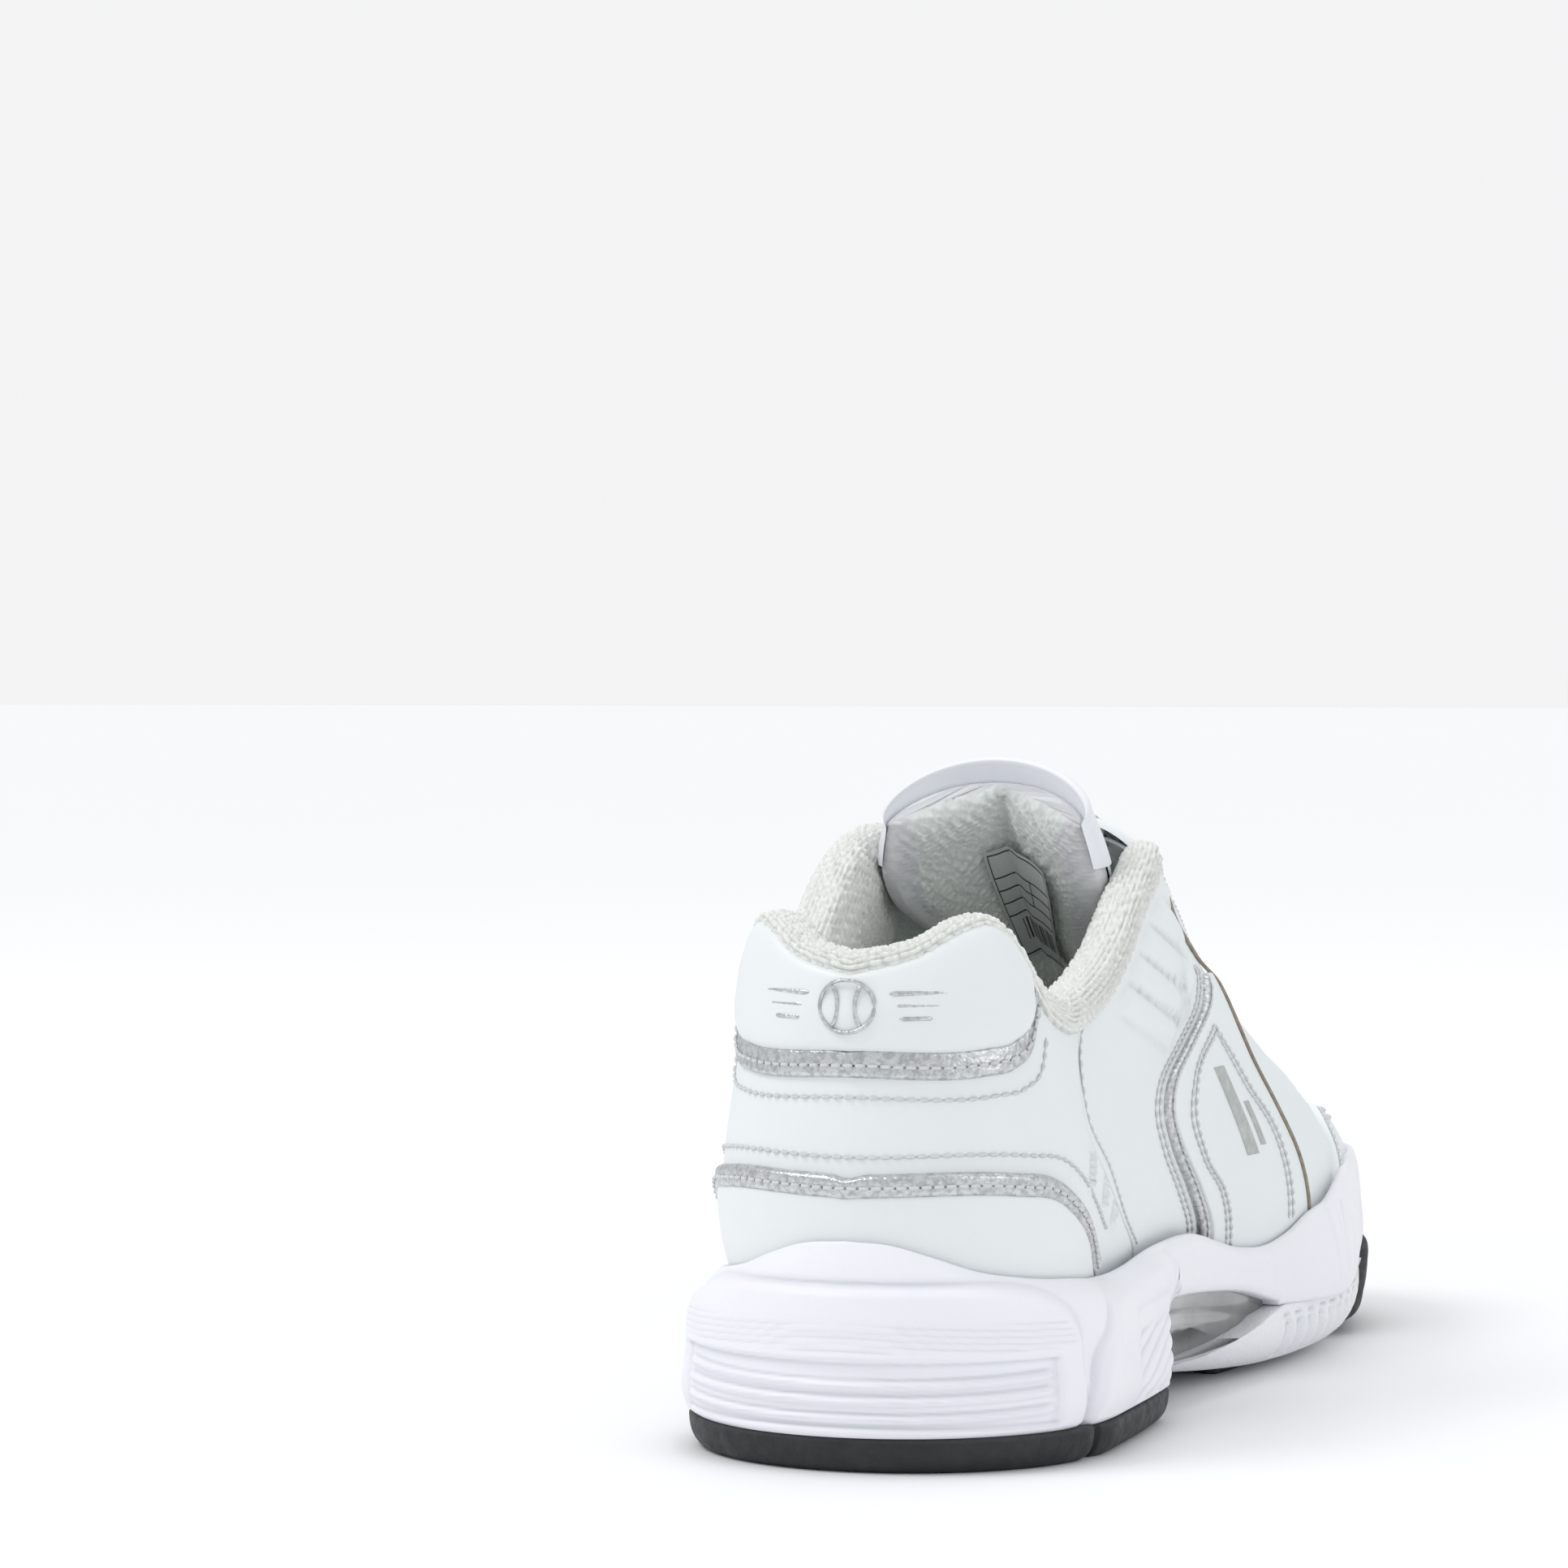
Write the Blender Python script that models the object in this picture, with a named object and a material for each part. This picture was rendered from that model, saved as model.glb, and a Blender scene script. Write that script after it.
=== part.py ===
"""A right-foot court shoe, built as the pieces it is made of.

World frame: metres, +Y to the toe, +X to the outer side, +Z up, origin on the ground under the
centre of the heel's round back. Lengths in this file are millimetres until `place` scales them.

Every upper piece is laid on one last surface. A point of it is named by side (+1 outer, -1 inner),
around (mm round the foot from the centre of the back) and level (0 at the sole edge, TOP at the
ridge over the instep), and may be pushed out or in along the surface normal.
"""

import math

import bmesh
import bpy
import numpy as np
from mathutils import Matrix, Vector

MM = 0.001
OUTER, INNER = 1, -1

# Driving dimensions of the last.
HEEL_ARC = 55.0          # outline length of the quarter turn at the back
TOE_ARC = 57.0           # outline length of the quarter turn at the toe
TOE_Y = 190.0            # where the toe starts to round
TOE_START = HEEL_ARC + TOE_Y
TOE_END = TOE_START + TOE_ARC
TOP = 6                  # level of the ridge

# Driving dimensions of the sole.
GAP = 0.35               # air between neighbouring pieces
TREAD = 6.4              # heel rubber
POD_FRONT = 46.0         # front of the heel block
POD_STEP = 1.2           # depth of its front face's slope
SHANK_FRONT = 104.0      # front of the open arch
FLEX_Y = 155.0           # the shoe bends here
WALL = 3.6               # midsole wall round the upper
OVERLAY_ROOM = 2.3       # room the overlays take inside that wall

# Leather and lining stack, measured outward from the last surface.
BASE = (-1.4, 0.0)
OVERLAY = (GAP, 1.5)
TRIM = (GAP, 1.2)
STIFFENER = (-2.9, -1.9)
LINING = (-4.6, -3.6)
FOOTBED_INSET = 5.5
EYESTAY_DEPTH = 0.75       # levels


def around(y):
    """Outline position of a station on the straight part of the foot."""
    return HEEL_ARC + y


# around, heights of the seven levels, half-widths of the outer side, half-widths of the inner side
LAST = [
    (0.0, (28, 38, 50, 64, 80, 96, 114),
     (31, 34, 35, 34.6, 33.8, 33, 32), (31, 34, 35, 34.6, 33.8, 33, 32)),
    (27.5, (28, 38, 50, 64, 80, 96, 114),
     (30.5, 33.4, 34.2, 33, 30.8, 28.8, 27.5), (30.5, 33.4, 34.2, 33, 30.8, 28.8, 27.5)),
    (around(0), (28, 38, 50, 64, 80, 96, 114),
     (30, 33, 33.8, 32, 29.2, 27.2, 26), (29.5, 32.5, 33.3, 31.5, 29, 27.2, 26)),
    (around(24), (27.5, 38, 51, 66, 82, 98, 114),
     (29.5, 32.8, 33.4, 31.4, 29.2, 27.5, 26), (28, 31.5, 32.5, 31.5, 31, 30, 29)),
    (around(50), (26, 37, 51, 67, 86, 102, 115),
     (30, 33.6, 34.4, 33, 31, 28.5, 24), (27.5, 31.5, 33, 32.8, 32.6, 31, 27)),
    (around(66), (25.5, 36.5, 50.5, 67, 86, 102, 112),
     (31, 35, 36, 34.3, 31.5, 28, 10), (27.5, 32, 34, 33.4, 32.2, 29, 10)),
    (around(82), (24.5, 35.5, 49.5, 65.5, 83, 98, 106),
     (32.5, 36.5, 37.5, 35.5, 31.5, 22, 0), (28, 33, 35.2, 33.5, 30, 21, 0)),
    (around(105), (21.5, 32, 46, 60, 74, 85.5, 91),
     (36, 40, 40.8, 38, 31.5, 19, 0), (31.5, 36.5, 38, 35.5, 28.5, 17.5, 0)),
    (around(129), (19, 28, 40, 52, 63, 71.5, 76),
     (38, 42.5, 43.3, 40.5, 32.5, 18.5, 0), (36, 41, 42.5, 39.5, 31, 17.5, 0)),
    (around(153), (17, 25, 35, 45, 55, 62, 65.5),
     (38, 41.5, 42, 39, 32, 18.5, 0), (39.5, 44, 45, 42, 33, 18.5, 0)),
    (around(174), (17.5, 24, 33, 42, 50.5, 56.5, 59.5),
     (36.5, 40, 40.5, 37.5, 31, 17.5, 0), (40, 44.5, 45, 42, 33, 18.5, 0)),
    (TOE_START, (18.5, 24, 32, 40.5, 48.5, 53.5, 56),
     (34.5, 38, 38.5, 36, 29.5, 16.5, 0), (38, 42.5, 43, 40, 31.5, 17.5, 0)),
    (TOE_START + TOE_ARC / 2, (19.5, 24.5, 31.5, 39.5, 47.5, 53, 56),
     (34.5, 38, 38.5, 36, 29, 16.2, 0), (36.5, 41, 41.5, 38.5, 30.5, 17, 0)),
    (TOE_END, (20.5, 25, 31.5, 39, 47, 52.8, 56),
     (35.5, 39, 39.5, 37, 30, 16.5, 0), (35.5, 39, 39.5, 37, 30, 16.5, 0)),
]
CENTRE_LINE = [(0.0, 0.0), (60.0, 0.0), (110.0, 1.5), (155.0, 1.5), (190.0, -2.0)]


# ---------------------------------------------------------------- curves and the last surface

def smooth(at, knots, values):
    """Values of a smooth curve through (knots, values); values may be rows of numbers."""
    knots = np.asarray(knots, float)
    values = np.asarray(values, float)
    shape = (-1,) + (1,) * (values.ndim - 1)
    span = np.diff(knots)
    slope = np.diff(values, axis=0) / span.reshape(shape)
    share = (span[1:] / (span[:-1] + span[1:])).reshape(shape)
    tangent = np.concatenate([slope[:1], slope[:-1] * share + slope[1:] * (1 - share), slope[-1:]])
    at = np.clip(np.asarray(at, float), knots[0], knots[-1])
    i = np.clip(np.searchsorted(knots, at) - 1, 0, len(knots) - 2)
    shape = at.shape + (1,) * (values.ndim - 1)
    f = ((at - knots[i]) / span[i]).reshape(shape)
    h = span[i].reshape(shape)
    return ((2 * f**3 - 3 * f**2 + 1) * values[i] + (f**3 - 2 * f**2 + f) * h * tangent[i]
            + (3 * f**2 - 2 * f**3) * values[i + 1] + (f**3 - f**2) * h * tangent[i + 1])


def curve(*points):
    """A function of one number, smooth through the given (number, value) points."""
    knots = [p[0] for p in points]
    values = [p[1] for p in points]
    return lambda at: float(smooth(at, knots, values))


STATION_AT = [row[0] for row in LAST]
STATION_PROFILE = {
    OUTER: [np.column_stack([row[2], row[1]]) for row in LAST],
    INNER: [np.column_stack([row[3], row[1]]) for row in LAST],
}


def profile_point(side, a, level):
    """Half-width and height of the last at one outline position and level."""
    rows = smooth(a, STATION_AT, STATION_PROFILE[side])
    i = min(int(level), TOP - 1)
    f = level - i
    before = rows[i - 1] if i > 0 else 2 * rows[0] - rows[1]
    after = rows[i + 2] if i + 2 <= TOP else rows[TOP - 1] * (-1, 1)
    start = (rows[i + 1] - before) / 2
    end = (after - rows[i]) / 2
    return ((2 * f**3 - 3 * f**2 + 1) * rows[i] + (f**3 - 2 * f**2 + f) * start
            + (3 * f**2 - 2 * f**3) * rows[i + 1] + (f**3 - f**2) * end)


def centre(a):
    """Centre-line point that an outline position is measured from."""
    y = min(max(a - HEEL_ARC, 0.0), TOE_Y)
    return float(smooth(y, *zip(*CENTRE_LINE))), y


def outward(side, a):
    """Level direction from the centre line to the outline."""
    heel = min(a / HEEL_ARC, 1.0) * math.pi / 2
    toe = max((a - TOE_START) / TOE_ARC, 0.0) * math.pi / 2
    return side * math.sin(heel) * math.cos(toe), math.sin(toe) - math.cos(heel)


def at_radius(side, a, r, z):
    """Point at a distance from the centre line and a height."""
    x, y = centre(a)
    dx, dy = outward(side, a)
    return np.array([x + dx * r, y + dy * r, z])


def last_point(side, a, level):
    r, z = profile_point(side, a, level)
    return at_radius(side, a, r, z)


def last_normal(side, a, level):
    """Outward unit normal of the last."""
    step = 0.02
    if level > TOP - step and a >= around(82):
        ridge = min(a, TOE_START - step)
        rise = profile_point(side, ridge + step, TOP)[1] - profile_point(side, ridge, TOP)[1]
        normal = np.array([0.0, -rise / step, 1.0])
    else:
        low, high = max(level - step, 0.0), min(level + step, TOP - step)
        back, front = max(a - step, 0.0), min(a + step, TOE_END)
        along = last_point(side, front, level) - last_point(side, back, level)
        up = last_point(side, a, high) - last_point(side, a, low)
        normal = np.cross(along, up) * side
    return normal / np.linalg.norm(normal)


def upper_point(side, a, level, depth):
    return last_point(side, a, level) + depth * last_normal(side, a, level)


def level_at(side, a, z):
    """Level of the last at a height."""
    low, high = 0.0, float(TOP)
    for _ in range(24):
        middle = (low + high) / 2
        if profile_point(side, a, middle)[1] < z:
            low = middle
        else:
            high = middle
    return (low + high) / 2


def level_beside_ridge(side, a, r):
    """Level above the widest part where the last is this far from the centre line."""
    low, high = 3.0, float(TOP)
    for _ in range(24):
        middle = (low + high) / 2
        if profile_point(side, a, middle)[0] > r:
            low = middle
        else:
            high = middle
    return (low + high) / 2


# ---------------------------------------------------------------- solids from rings

def add_rings(mesh, rings, welded=None):
    """Joins equal rings of points with quads and closes both ends.

    Between two rings marked as welded the closing side is left out: it lies on the middle of the
    shoe, where the other half of the same piece joins it.
    """
    loops = [[mesh.verts.new(Vector(p)) for p in ring] for ring in rings]
    welded = welded or [False] * len(loops)
    last = len(loops[0]) - 1
    for near, far, near_open, far_open in zip(loops, loops[1:], welded, welded[1:]):
        for i in range(last):
            mesh.faces.new([near[i], near[i + 1], far[i + 1], far[i]])
        if not (near_open and far_open):
            mesh.faces.new([near[last], near[0], far[0], far[last]])
    for loop in (loops[0][::-1], loops[-1]):
        close_end(mesh, loop)


def close_end(mesh, loop):
    """Closes the end of a solid with a strip between the first and the second half of its ring."""
    count = len(loop)
    for i in range((count - 1) // 2):
        corners = [loop[i], loop[i + 1], loop[count - 2 - i], loop[count - 1 - i]]
        mesh.faces.new(list(dict.fromkeys(corners)))


def place(name, mesh, material, pivot=(0.0, 0.0, 0.0)):
    """Turns a millimetre mesh into a named object whose origin is the pivot."""
    bmesh.ops.remove_doubles(mesh, verts=mesh.verts, dist=0.001)
    bmesh.ops.dissolve_degenerate(mesh, dist=0.001, edges=mesh.edges)
    bmesh.ops.triangulate(mesh, faces=mesh.faces, quad_method="BEAUTY", ngon_method="BEAUTY")
    bmesh.ops.recalc_face_normals(mesh, faces=mesh.faces)
    bmesh.ops.transform(mesh, matrix=Matrix.Translation(-Vector(pivot)), verts=mesh.verts)
    bmesh.ops.scale(mesh, vec=(MM, MM, MM), verts=mesh.verts)
    data = bpy.data.meshes.new(name)
    mesh.to_mesh(data)
    mesh.free()
    data.materials.append(material)
    data.shade_smooth()
    data.set_sharp_from_angle(angle=math.radians(40))
    piece = bpy.data.objects.new(name, data)
    piece.location = Vector(pivot) * MM
    bpy.context.scene.collection.objects.link(piece)
    return piece


def material(name, colour, roughness, metallic=0.0):
    made = bpy.data.materials.new(name)
    made.use_nodes = True
    shader = made.node_tree.nodes["Principled BSDF"]
    shader.inputs["Base Color"].default_value = (*colour, 1.0)
    shader.inputs["Roughness"].default_value = roughness
    shader.inputs["Metallic"].default_value = metallic
    return made


def steps(start, end, spacing):
    """Evenly spaced values from start to end, about `spacing` apart."""
    count = max(1, round(abs(end - start) / spacing))
    return [start + (end - start) * i / count for i in range(count + 1)]


def station(s):
    """Side and outline position of a signed position: positive outer, negative inner.

    Positions past the toe tip carry on round to the inner side.
    """
    if s > TOE_END:
        return INNER, 2 * TOE_END - s
    return (OUTER if s >= 0 else INNER), abs(s)


def signed_steps(start, end):
    """Signed positions between two ends: closer together round the heel and the toe."""
    edges = [HEEL_ARC, around(POD_FRONT), around(POD_FRONT + POD_STEP), TOE_START]
    borders = [-a for a in edges[::-1]] + edges + [2 * TOE_END - a for a in edges[::-1]]
    marks = [start] + [b for b in borders if start < b < end] + [end]
    found = []
    for low, high in zip(marks, marks[1:]):
        a = station((low + high) / 2)[1]
        spacing = 10.5 if HEEL_ARC < a < TOE_START else 7.5
        found += steps(low, high, spacing)[:-1]
    return found + [end]


def sheet(name, start, end, level, depths, made_of, rows=6, columns=8):
    """A sheet on the last, closed all round.

    `start` and `end` give its end positions at each share of its height, `level` the level at
    (side, around, share). Where it reaches the ridge it is welded to its other half.
    """
    mesh = bmesh.new()
    faces_of = {depth: [] for depth in depths}
    for share in steps(0.0, 1.0, 1.0 / rows):
        width = end(share) - start(share)
        stations = [station(start(share) + width * i / columns) for i in range(columns + 1)]
        for depth, found in faces_of.items():
            found.append([upper_point(side, a, level(side, a, share), depth)
                          for side, a in stations])
    inner, outer = faces_of[depths[0]], faces_of[depths[1]]
    rings = [[row[i] for row in outer[::-1]] + [row[i] for row in inner]
             for i in range(columns + 1)]
    on_ridge = [level(*place_on, 1.0) > TOP - 0.001 for place_on in stations]
    add_rings(mesh, rings, on_ridge)
    return place(name, mesh, made_of)


def hoop(name, start, end, section, made_of, to_centre=True):
    """A solid swept round the foot; `section` gives its ring at (side, around).

    A section that starts and ends on the centre line is welded to the other side's there, and
    turns about one hub at the heel and one at the toe.
    """
    mesh = bmesh.new()
    rings = []
    for side, a in map(station, signed_steps(start, end)):
        ring = section(side, a)
        if to_centre:
            hub = section(side, min(max(a, HEEL_ARC), TOE_START))
            ring = [hub[0], *ring[1:-1], hub[-1]]
        rings.append(ring)
    add_rings(mesh, rings, [to_centre] * len(rings))
    return place(name, mesh, made_of)


def halves(name, back, front, section, made_of):
    """A solid across the foot between two cuts, welded from its outer and inner halves."""
    mesh = bmesh.new()
    for side in (OUTER, INNER):
        rings = [section(side, a) for a in signed_steps(back, front)]
        add_rings(mesh, rings, [True] * len(rings))
    return place(name, mesh, made_of)


def constant(value):
    return lambda share: value


# ---------------------------------------------------------------- lines drawn on the upper

collar_seam = {
    OUTER: curve((0, 87), (12, 90), (22, 94.5), (29, 95.5), (35, 92), (40, 85.5), (45, 79.5),
                 (52, 76.2), (60, 75.4), (70, 76.6), (82, 79.6), (93, 85), (102, 91.5), (112, 98),
                 (122, 104.5)),
    INNER: curve((0, 87), (12, 90), (22, 94.5), (29, 95.5), (35, 92), (40, 86), (45, 81),
                 (52, 78.5), (60, 79), (70, 82.5), (82, 89), (93, 95.5), (102, 100), (112, 103.4),
                 (122, 105.6)),
}
lip_rise = curve((0, 3.4), (28, 2.4), (45, 4.6), (60, 5.4), (80, 6.0), (100, 6.0), (122, 5.0))
COLLAR_FRONT = 119.0
COLLAR_SLANT = 7.0           # the collar's front end slopes up to the lacing opening over this
THROAT = around(128.0)       # front end of the lacing opening
throat_half_width = curve((118, 13.5), (150, 12.0), (172, 9.0), (THROAT, 1.0))


def throat_edge(side, a):
    """Level of the edge of the lacing opening, or of the ridge in front of it."""
    if a >= THROAT:
        return float(TOP)
    return level_beside_ridge(side, a, throat_half_width(a))


def upper_edge(side, a):
    """Level where the outer leather ends."""
    at_collar = min(a, COLLAR_FRONT)
    collar = level_at(side, at_collar, collar_seam[side](at_collar))
    at_throat = max(a, COLLAR_FRONT + COLLAR_SLANT)
    share = min(max((a - COLLAR_FRONT) / COLLAR_SLANT, 0.0), 1.0)
    return collar + (throat_edge(side, at_throat) - collar) * share


def whole_height(side, a, share):
    return max(share, 0.01) * upper_edge(side, a)


quarter_seam = curve((0.0, 99), (0.12, 95), (0.28, 83), (0.48, 70), (0.7, 58.5), (0.86, 59),
                     (1.0, 63))
quarter_front = curve((0.0, 132), (0.3, 128), (0.55, 134), (0.72, 145), (0.84, 138), (0.93, 131.5),
                      (1.0, COLLAR_FRONT + COLLAR_SLANT))
saddle_rear = curve((24, 132), (31, 129.5), (41, 119), (50, 110), (57.5, 107), (63, 111),
                    (69, 122), (75, 134), (81, 141))
saddle_front = curve((24, 181), (34, 176), (44, 170), (53, 162.5), (63, 155), (73, 149.5),
                     (81, 146))
SADDLE_TOP = 81.0
STRIPE_WIDTH = 3.2
foxing_top = curve((0, 47.5), (31, 47.3), (41, 45.8), (48, 42), (56, 36.8), (64, 31.5), (70, 28.4))
TRIM_WIDTH = 4.6
FOXING_FRONT = 68.0
tab_bottom = curve((0, 73.5), (26, 73.5), (33, 74.6), (38, 78), (40.5, 83))
TAB_FRONT = 40.0


# ---------------------------------------------------------------- materials

LEATHER = material("white_leather", (0.80, 0.83, 0.83), 0.45)
SILVER = material("silver_trim", (0.55, 0.56, 0.57), 0.28, 0.8)
KNIT = material("collar_knit", (0.78, 0.81, 0.76), 0.9)
FOAM = material("padding_foam", (0.75, 0.74, 0.66), 0.95)
FABRIC = material("lining_fabric", (0.72, 0.80, 0.77), 0.9)
BOARD = material("insole_board", (0.62, 0.60, 0.55), 0.85)
EVA = material("midsole_foam", (0.86, 0.86, 0.89), 0.6)
RUBBER = material("black_rubber", (0.02, 0.02, 0.024), 0.7)
WHITE_RUBBER = material("white_rubber", (0.78, 0.80, 0.82), 0.55)
TPU = material("grey_shank", (0.28, 0.27, 0.26), 0.15)
STIFF = material("stiffener_board", (0.70, 0.66, 0.55), 0.8)
LABEL = material("size_label", (0.62, 0.65, 0.65), 0.5)
LACING = material("lace", (0.88, 0.88, 0.92), 0.85)
MARK = material("side_mark", (0.5, 0.52, 0.5), 0.3)


# ---------------------------------------------------------------- the sole

sole_outer = curve((0, 40.2), (27, 40.4), (55, 40.2), (80, 39.8), (101, 38.6), (125, 39),
                   (150, 41.5), (175, 44.5), (200, 45.6), (225, 44.2), (245, 42), (273, 41.5),
                   (302, 42.5))
sole_inner = curve((0, 40.2), (27, 40.4), (55, 39.6), (80, 38), (101, 36), (125, 34), (150, 36.5),
                   (175, 42), (200, 47), (225, 48.5), (245, 46.6), (273, 44.5), (302, 42.5))
wall_top = curve((0, 40.3), (14, 37.8), (23, 34.8), (33, 33.1), (47, 31.8), (65, 30.2), (83, 30.4),
                 (101, 32.5), (117, 32.8), (132, 30), (146, 27.2), (160, 27), (166, 28.6),
                 (173, 31.5), (183, 33.4), (192, 36), (203, 37.6), (218, 38), (245, 37.2),
                 (273, 37.6), (302, 38.6))
toe_spring = curve((205, 0), (225, 1.2), (245, 3.4), (273, 6.2), (302, 8.0))
shell_top = curve((100, 12.2), (205, 12.2), (245, 13.6), (273, 15.2), (302, 16.6))
arch_underside = curve((100, 20.5), (125, 18.5), (150, 15.5), (161, 13.4))
SHELL_BOTTOM = 1.6
SHELL_FLARE = 0.8            # the forefoot rubber stands this far out from the foam
SHELL_EDGE = 6.5             # size of its rounded lower edge
FLEX = around(FLEX_Y)
FLEX_GAP = 0.6


def sole_radius(side, a):
    return sole_outer(a) if side == OUTER else sole_inner(a)


def upper_radius(side, a, z):
    return profile_point(side, a, level_at(side, a, z))[0]


def underside(a):
    """Height of the midsole's lower face."""
    if a <= around(POD_FRONT):
        return TREAD + GAP
    if a <= around(SHANK_FRONT):
        return arch_underside(a)
    return shell_top(a) + GAP


def midsole_section(side, a):
    """Half section of the dish the upper sits in."""
    floor = profile_point(side, a, 0.0)[1] - GAP
    top = wall_top(a)
    bottom = underside(a)
    wide = sole_radius(side, a)
    wall = [(upper_radius(side, a, max(z, floor + GAP)) + OVERLAY_ROOM, z)
            for z in steps(floor, top, (top - floor) / 4)]
    lip = wall[-1][0]
    ring = [(0.0, floor), *wall, (lip + WALL * 0.5, top), (max(lip + WALL, wide - 1.5), top - 2.2),
            (max(lip + WALL - 0.6, wide), (top + bottom) / 2 + 1.0), (wide, bottom + 2.0),
            (wide - 1.6, bottom), (0.0, bottom)]
    return [at_radius(side, a, r, z) for r, z in ring]


def slab_section(inset, low, high, edge):
    """Half section of a flat layer with a rounded outer edge; low and high are functions."""
    def section(side, a):
        r = sole_radius(side, a) - inset
        bottom, top = low(a), high(a)
        ring = [(0.0, top), (r, top), (r, bottom + edge * 0.6), (r - edge, bottom), (0.0, bottom)]
        return [at_radius(side, a, radius, z) for radius, z in ring]
    return section


def build_midsole():
    hoop("midsole_heel", FLEX_GAP - FLEX, FLEX - FLEX_GAP, midsole_section, EVA)
    hoop("midsole_forefoot", FLEX, 2 * TOE_END - FLEX, midsole_section, EVA)


def build_heel_tread():
    section = slab_section(0.2, lambda a: 0.0, lambda a: TREAD, 3.4)
    split = around(-9.0)
    groove = 1.6
    hoop("outsole_heel_rear", -split, split, section, RUBBER)
    halves("outsole_heel_front", split + groove, around(POD_FRONT - 0.5), section, RUBBER)


def build_forefoot_sole():
    def shell_bottom(a):
        return SHELL_BOTTOM + toe_spring(a)

    shell = slab_section(-SHELL_FLARE, shell_bottom, shell_top, SHELL_EDGE)
    halves("forefoot_shell_rear", around(SHANK_FRONT - 7.0), FLEX - FLEX_GAP, shell, WHITE_RUBBER)
    hoop("forefoot_shell_front", FLEX, 2 * TOE_END - FLEX, shell, WHITE_RUBBER)
    tread = slab_section(6.5, toe_spring, lambda a: shell_bottom(a) - GAP, 0.8)
    halves("outsole_forefoot", around(SHANK_FRONT + 2.0), FLEX - 3.0, tread, RUBBER)
    hoop("outsole_toe", FLEX + 3.0, 2 * TOE_END - FLEX - 3.0, toe_tread_section, RUBBER)


def toe_tread_section(side, a):
    """Tread under the toe that turns up round the shell's edge as a bumper at the tip."""
    skin = 1.2
    low = toe_spring(a)
    foot = low + SHELL_BOTTOM - GAP
    reach = min(max((a - around(172.0)) / 18.0, 0.0), 1.0)
    climb = min(max((a - around(190.0)) / 14.0, 0.0), 1.0)
    shell = sole_radius(side, a) + SHELL_FLARE
    flat = shell - SHELL_EDGE + 0.2
    out = flat + 0.1 + (shell + 0.6 - flat) * reach
    base = foot + 0.1 + (SHELL_EDGE * 0.6 + GAP) * reach
    rise = base + 0.1 + 8.0 * climb
    ring = [(0.0, foot), (flat, foot), (out, base), (out, rise), (out + skin, rise),
            (out + skin, base - 0.4), (flat + 1.0, low), (0.0, low)]
    return [at_radius(side, a, radius, z) for radius, z in ring]


def build_shank():
    """Glossy bridge under the arch, between the heel block and the forefoot."""
    def section(side, a):
        share = (a - around(POD_FRONT)) / (SHANK_FRONT - POD_FRONT)
        r = sole_radius(side, a) - 3.0
        top = arch_underside(a) - GAP
        bottom = 3.2 + 9.5 * max(share - 0.35, 0.0) ** 2
        ring = [(0.0, top), (r, top), (r - 1.0, (top + bottom) / 2), (r - 6.0, bottom),
                (0.0, bottom)]
        return [at_radius(side, a, radius, z) for radius, z in ring]

    halves("arch_shank", around(POD_FRONT + POD_STEP + GAP), around(SHANK_FRONT - 7.6), section, TPU)


def build_footbed():
    def layer(low, high):
        def section(side, a):
            r, edge = profile_point(side, a, 0.0)
            r, floor = r - FOOTBED_INSET, edge - GAP
            ring = [(0.0, floor + high), (r, floor + high), (r, floor + low), (0.0, floor + low)]
            return [at_radius(side, a, radius, z) for radius, z in ring]
        return section

    for name, section, made_of in (("insole_board", layer(GAP, 1.9), BOARD),
                                   ("sock_liner", layer(1.9 + GAP, 6.2), FABRIC)):
        hoop(name + "_rear", FLEX_GAP - FLEX, FLEX - FLEX_GAP, section, made_of)
        hoop(name + "_front", FLEX, 2 * TOE_END - FLEX, section, made_of)


# ---------------------------------------------------------------- the upper

def on_side(side, start, end):
    """Start and end of a sheet on one side, in signed positions."""
    if side == OUTER:
        return start, end
    return lambda share: -end(share), lambda share: -start(share)


SIDES = (("lateral", OUTER), ("medial", INNER))


def build_base_panels():
    seam = GAP / 2
    front_seam = 0.5
    sheet("heel_panel", lambda v: seam - quarter_seam(v), lambda v: quarter_seam(v) - seam,
          whole_height, BASE, LEATHER, rows=8, columns=24)
    for name, side in SIDES:
        start, end = on_side(side, lambda v: quarter_seam(v) + seam,
                             lambda v: quarter_front(v) - front_seam)
        sheet(name + "_quarter", start, end, whole_height, BASE, LEATHER, rows=8, columns=9)
    sheet("vamp", lambda v: quarter_front(v) + front_seam,
          lambda v: 2 * TOE_END - quarter_front(v) - front_seam,
          whole_height, BASE, LEATHER, rows=8, columns=40)


def between_heights(low, high):
    """Level function of a sheet between two heights, each a function of outline position."""
    def level(side, a, share):
        return max(level_at(side, a, low(a) + (high(a) - low(a)) * share), 0.02)
    return level


def overlay_foot(a):
    """Height where the overlays start, inside the midsole wall."""
    return profile_point(OUTER, a, 0.2)[1]


def build_heel_overlays():
    reach = constant(FOXING_FRONT)
    sheet("heel_foxing", lambda v: -reach(v), reach, between_heights(overlay_foot, foxing_top),
          OVERLAY, LEATHER, rows=4, columns=22)
    sheet("heel_foxing_trim", lambda v: -reach(v), reach,
          between_heights(lambda a: foxing_top(a) + GAP, lambda a: foxing_top(a) + TRIM_WIDTH),
          TRIM, SILVER, rows=1, columns=26)
    tab = constant(TAB_FRONT)
    sheet("heel_tab", lambda v: -tab(v), tab,
          between_heights(tab_bottom, lambda a: collar_seam[OUTER](a) - 0.2),
          OVERLAY, LEATHER, rows=3, columns=20)
    sheet("heel_tab_trim", lambda v: -tab(v), tab,
          between_heights(lambda a: tab_bottom(a) - TRIM_WIDTH, lambda a: tab_bottom(a) - GAP),
          TRIM, SILVER, rows=1, columns=20)


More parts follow.
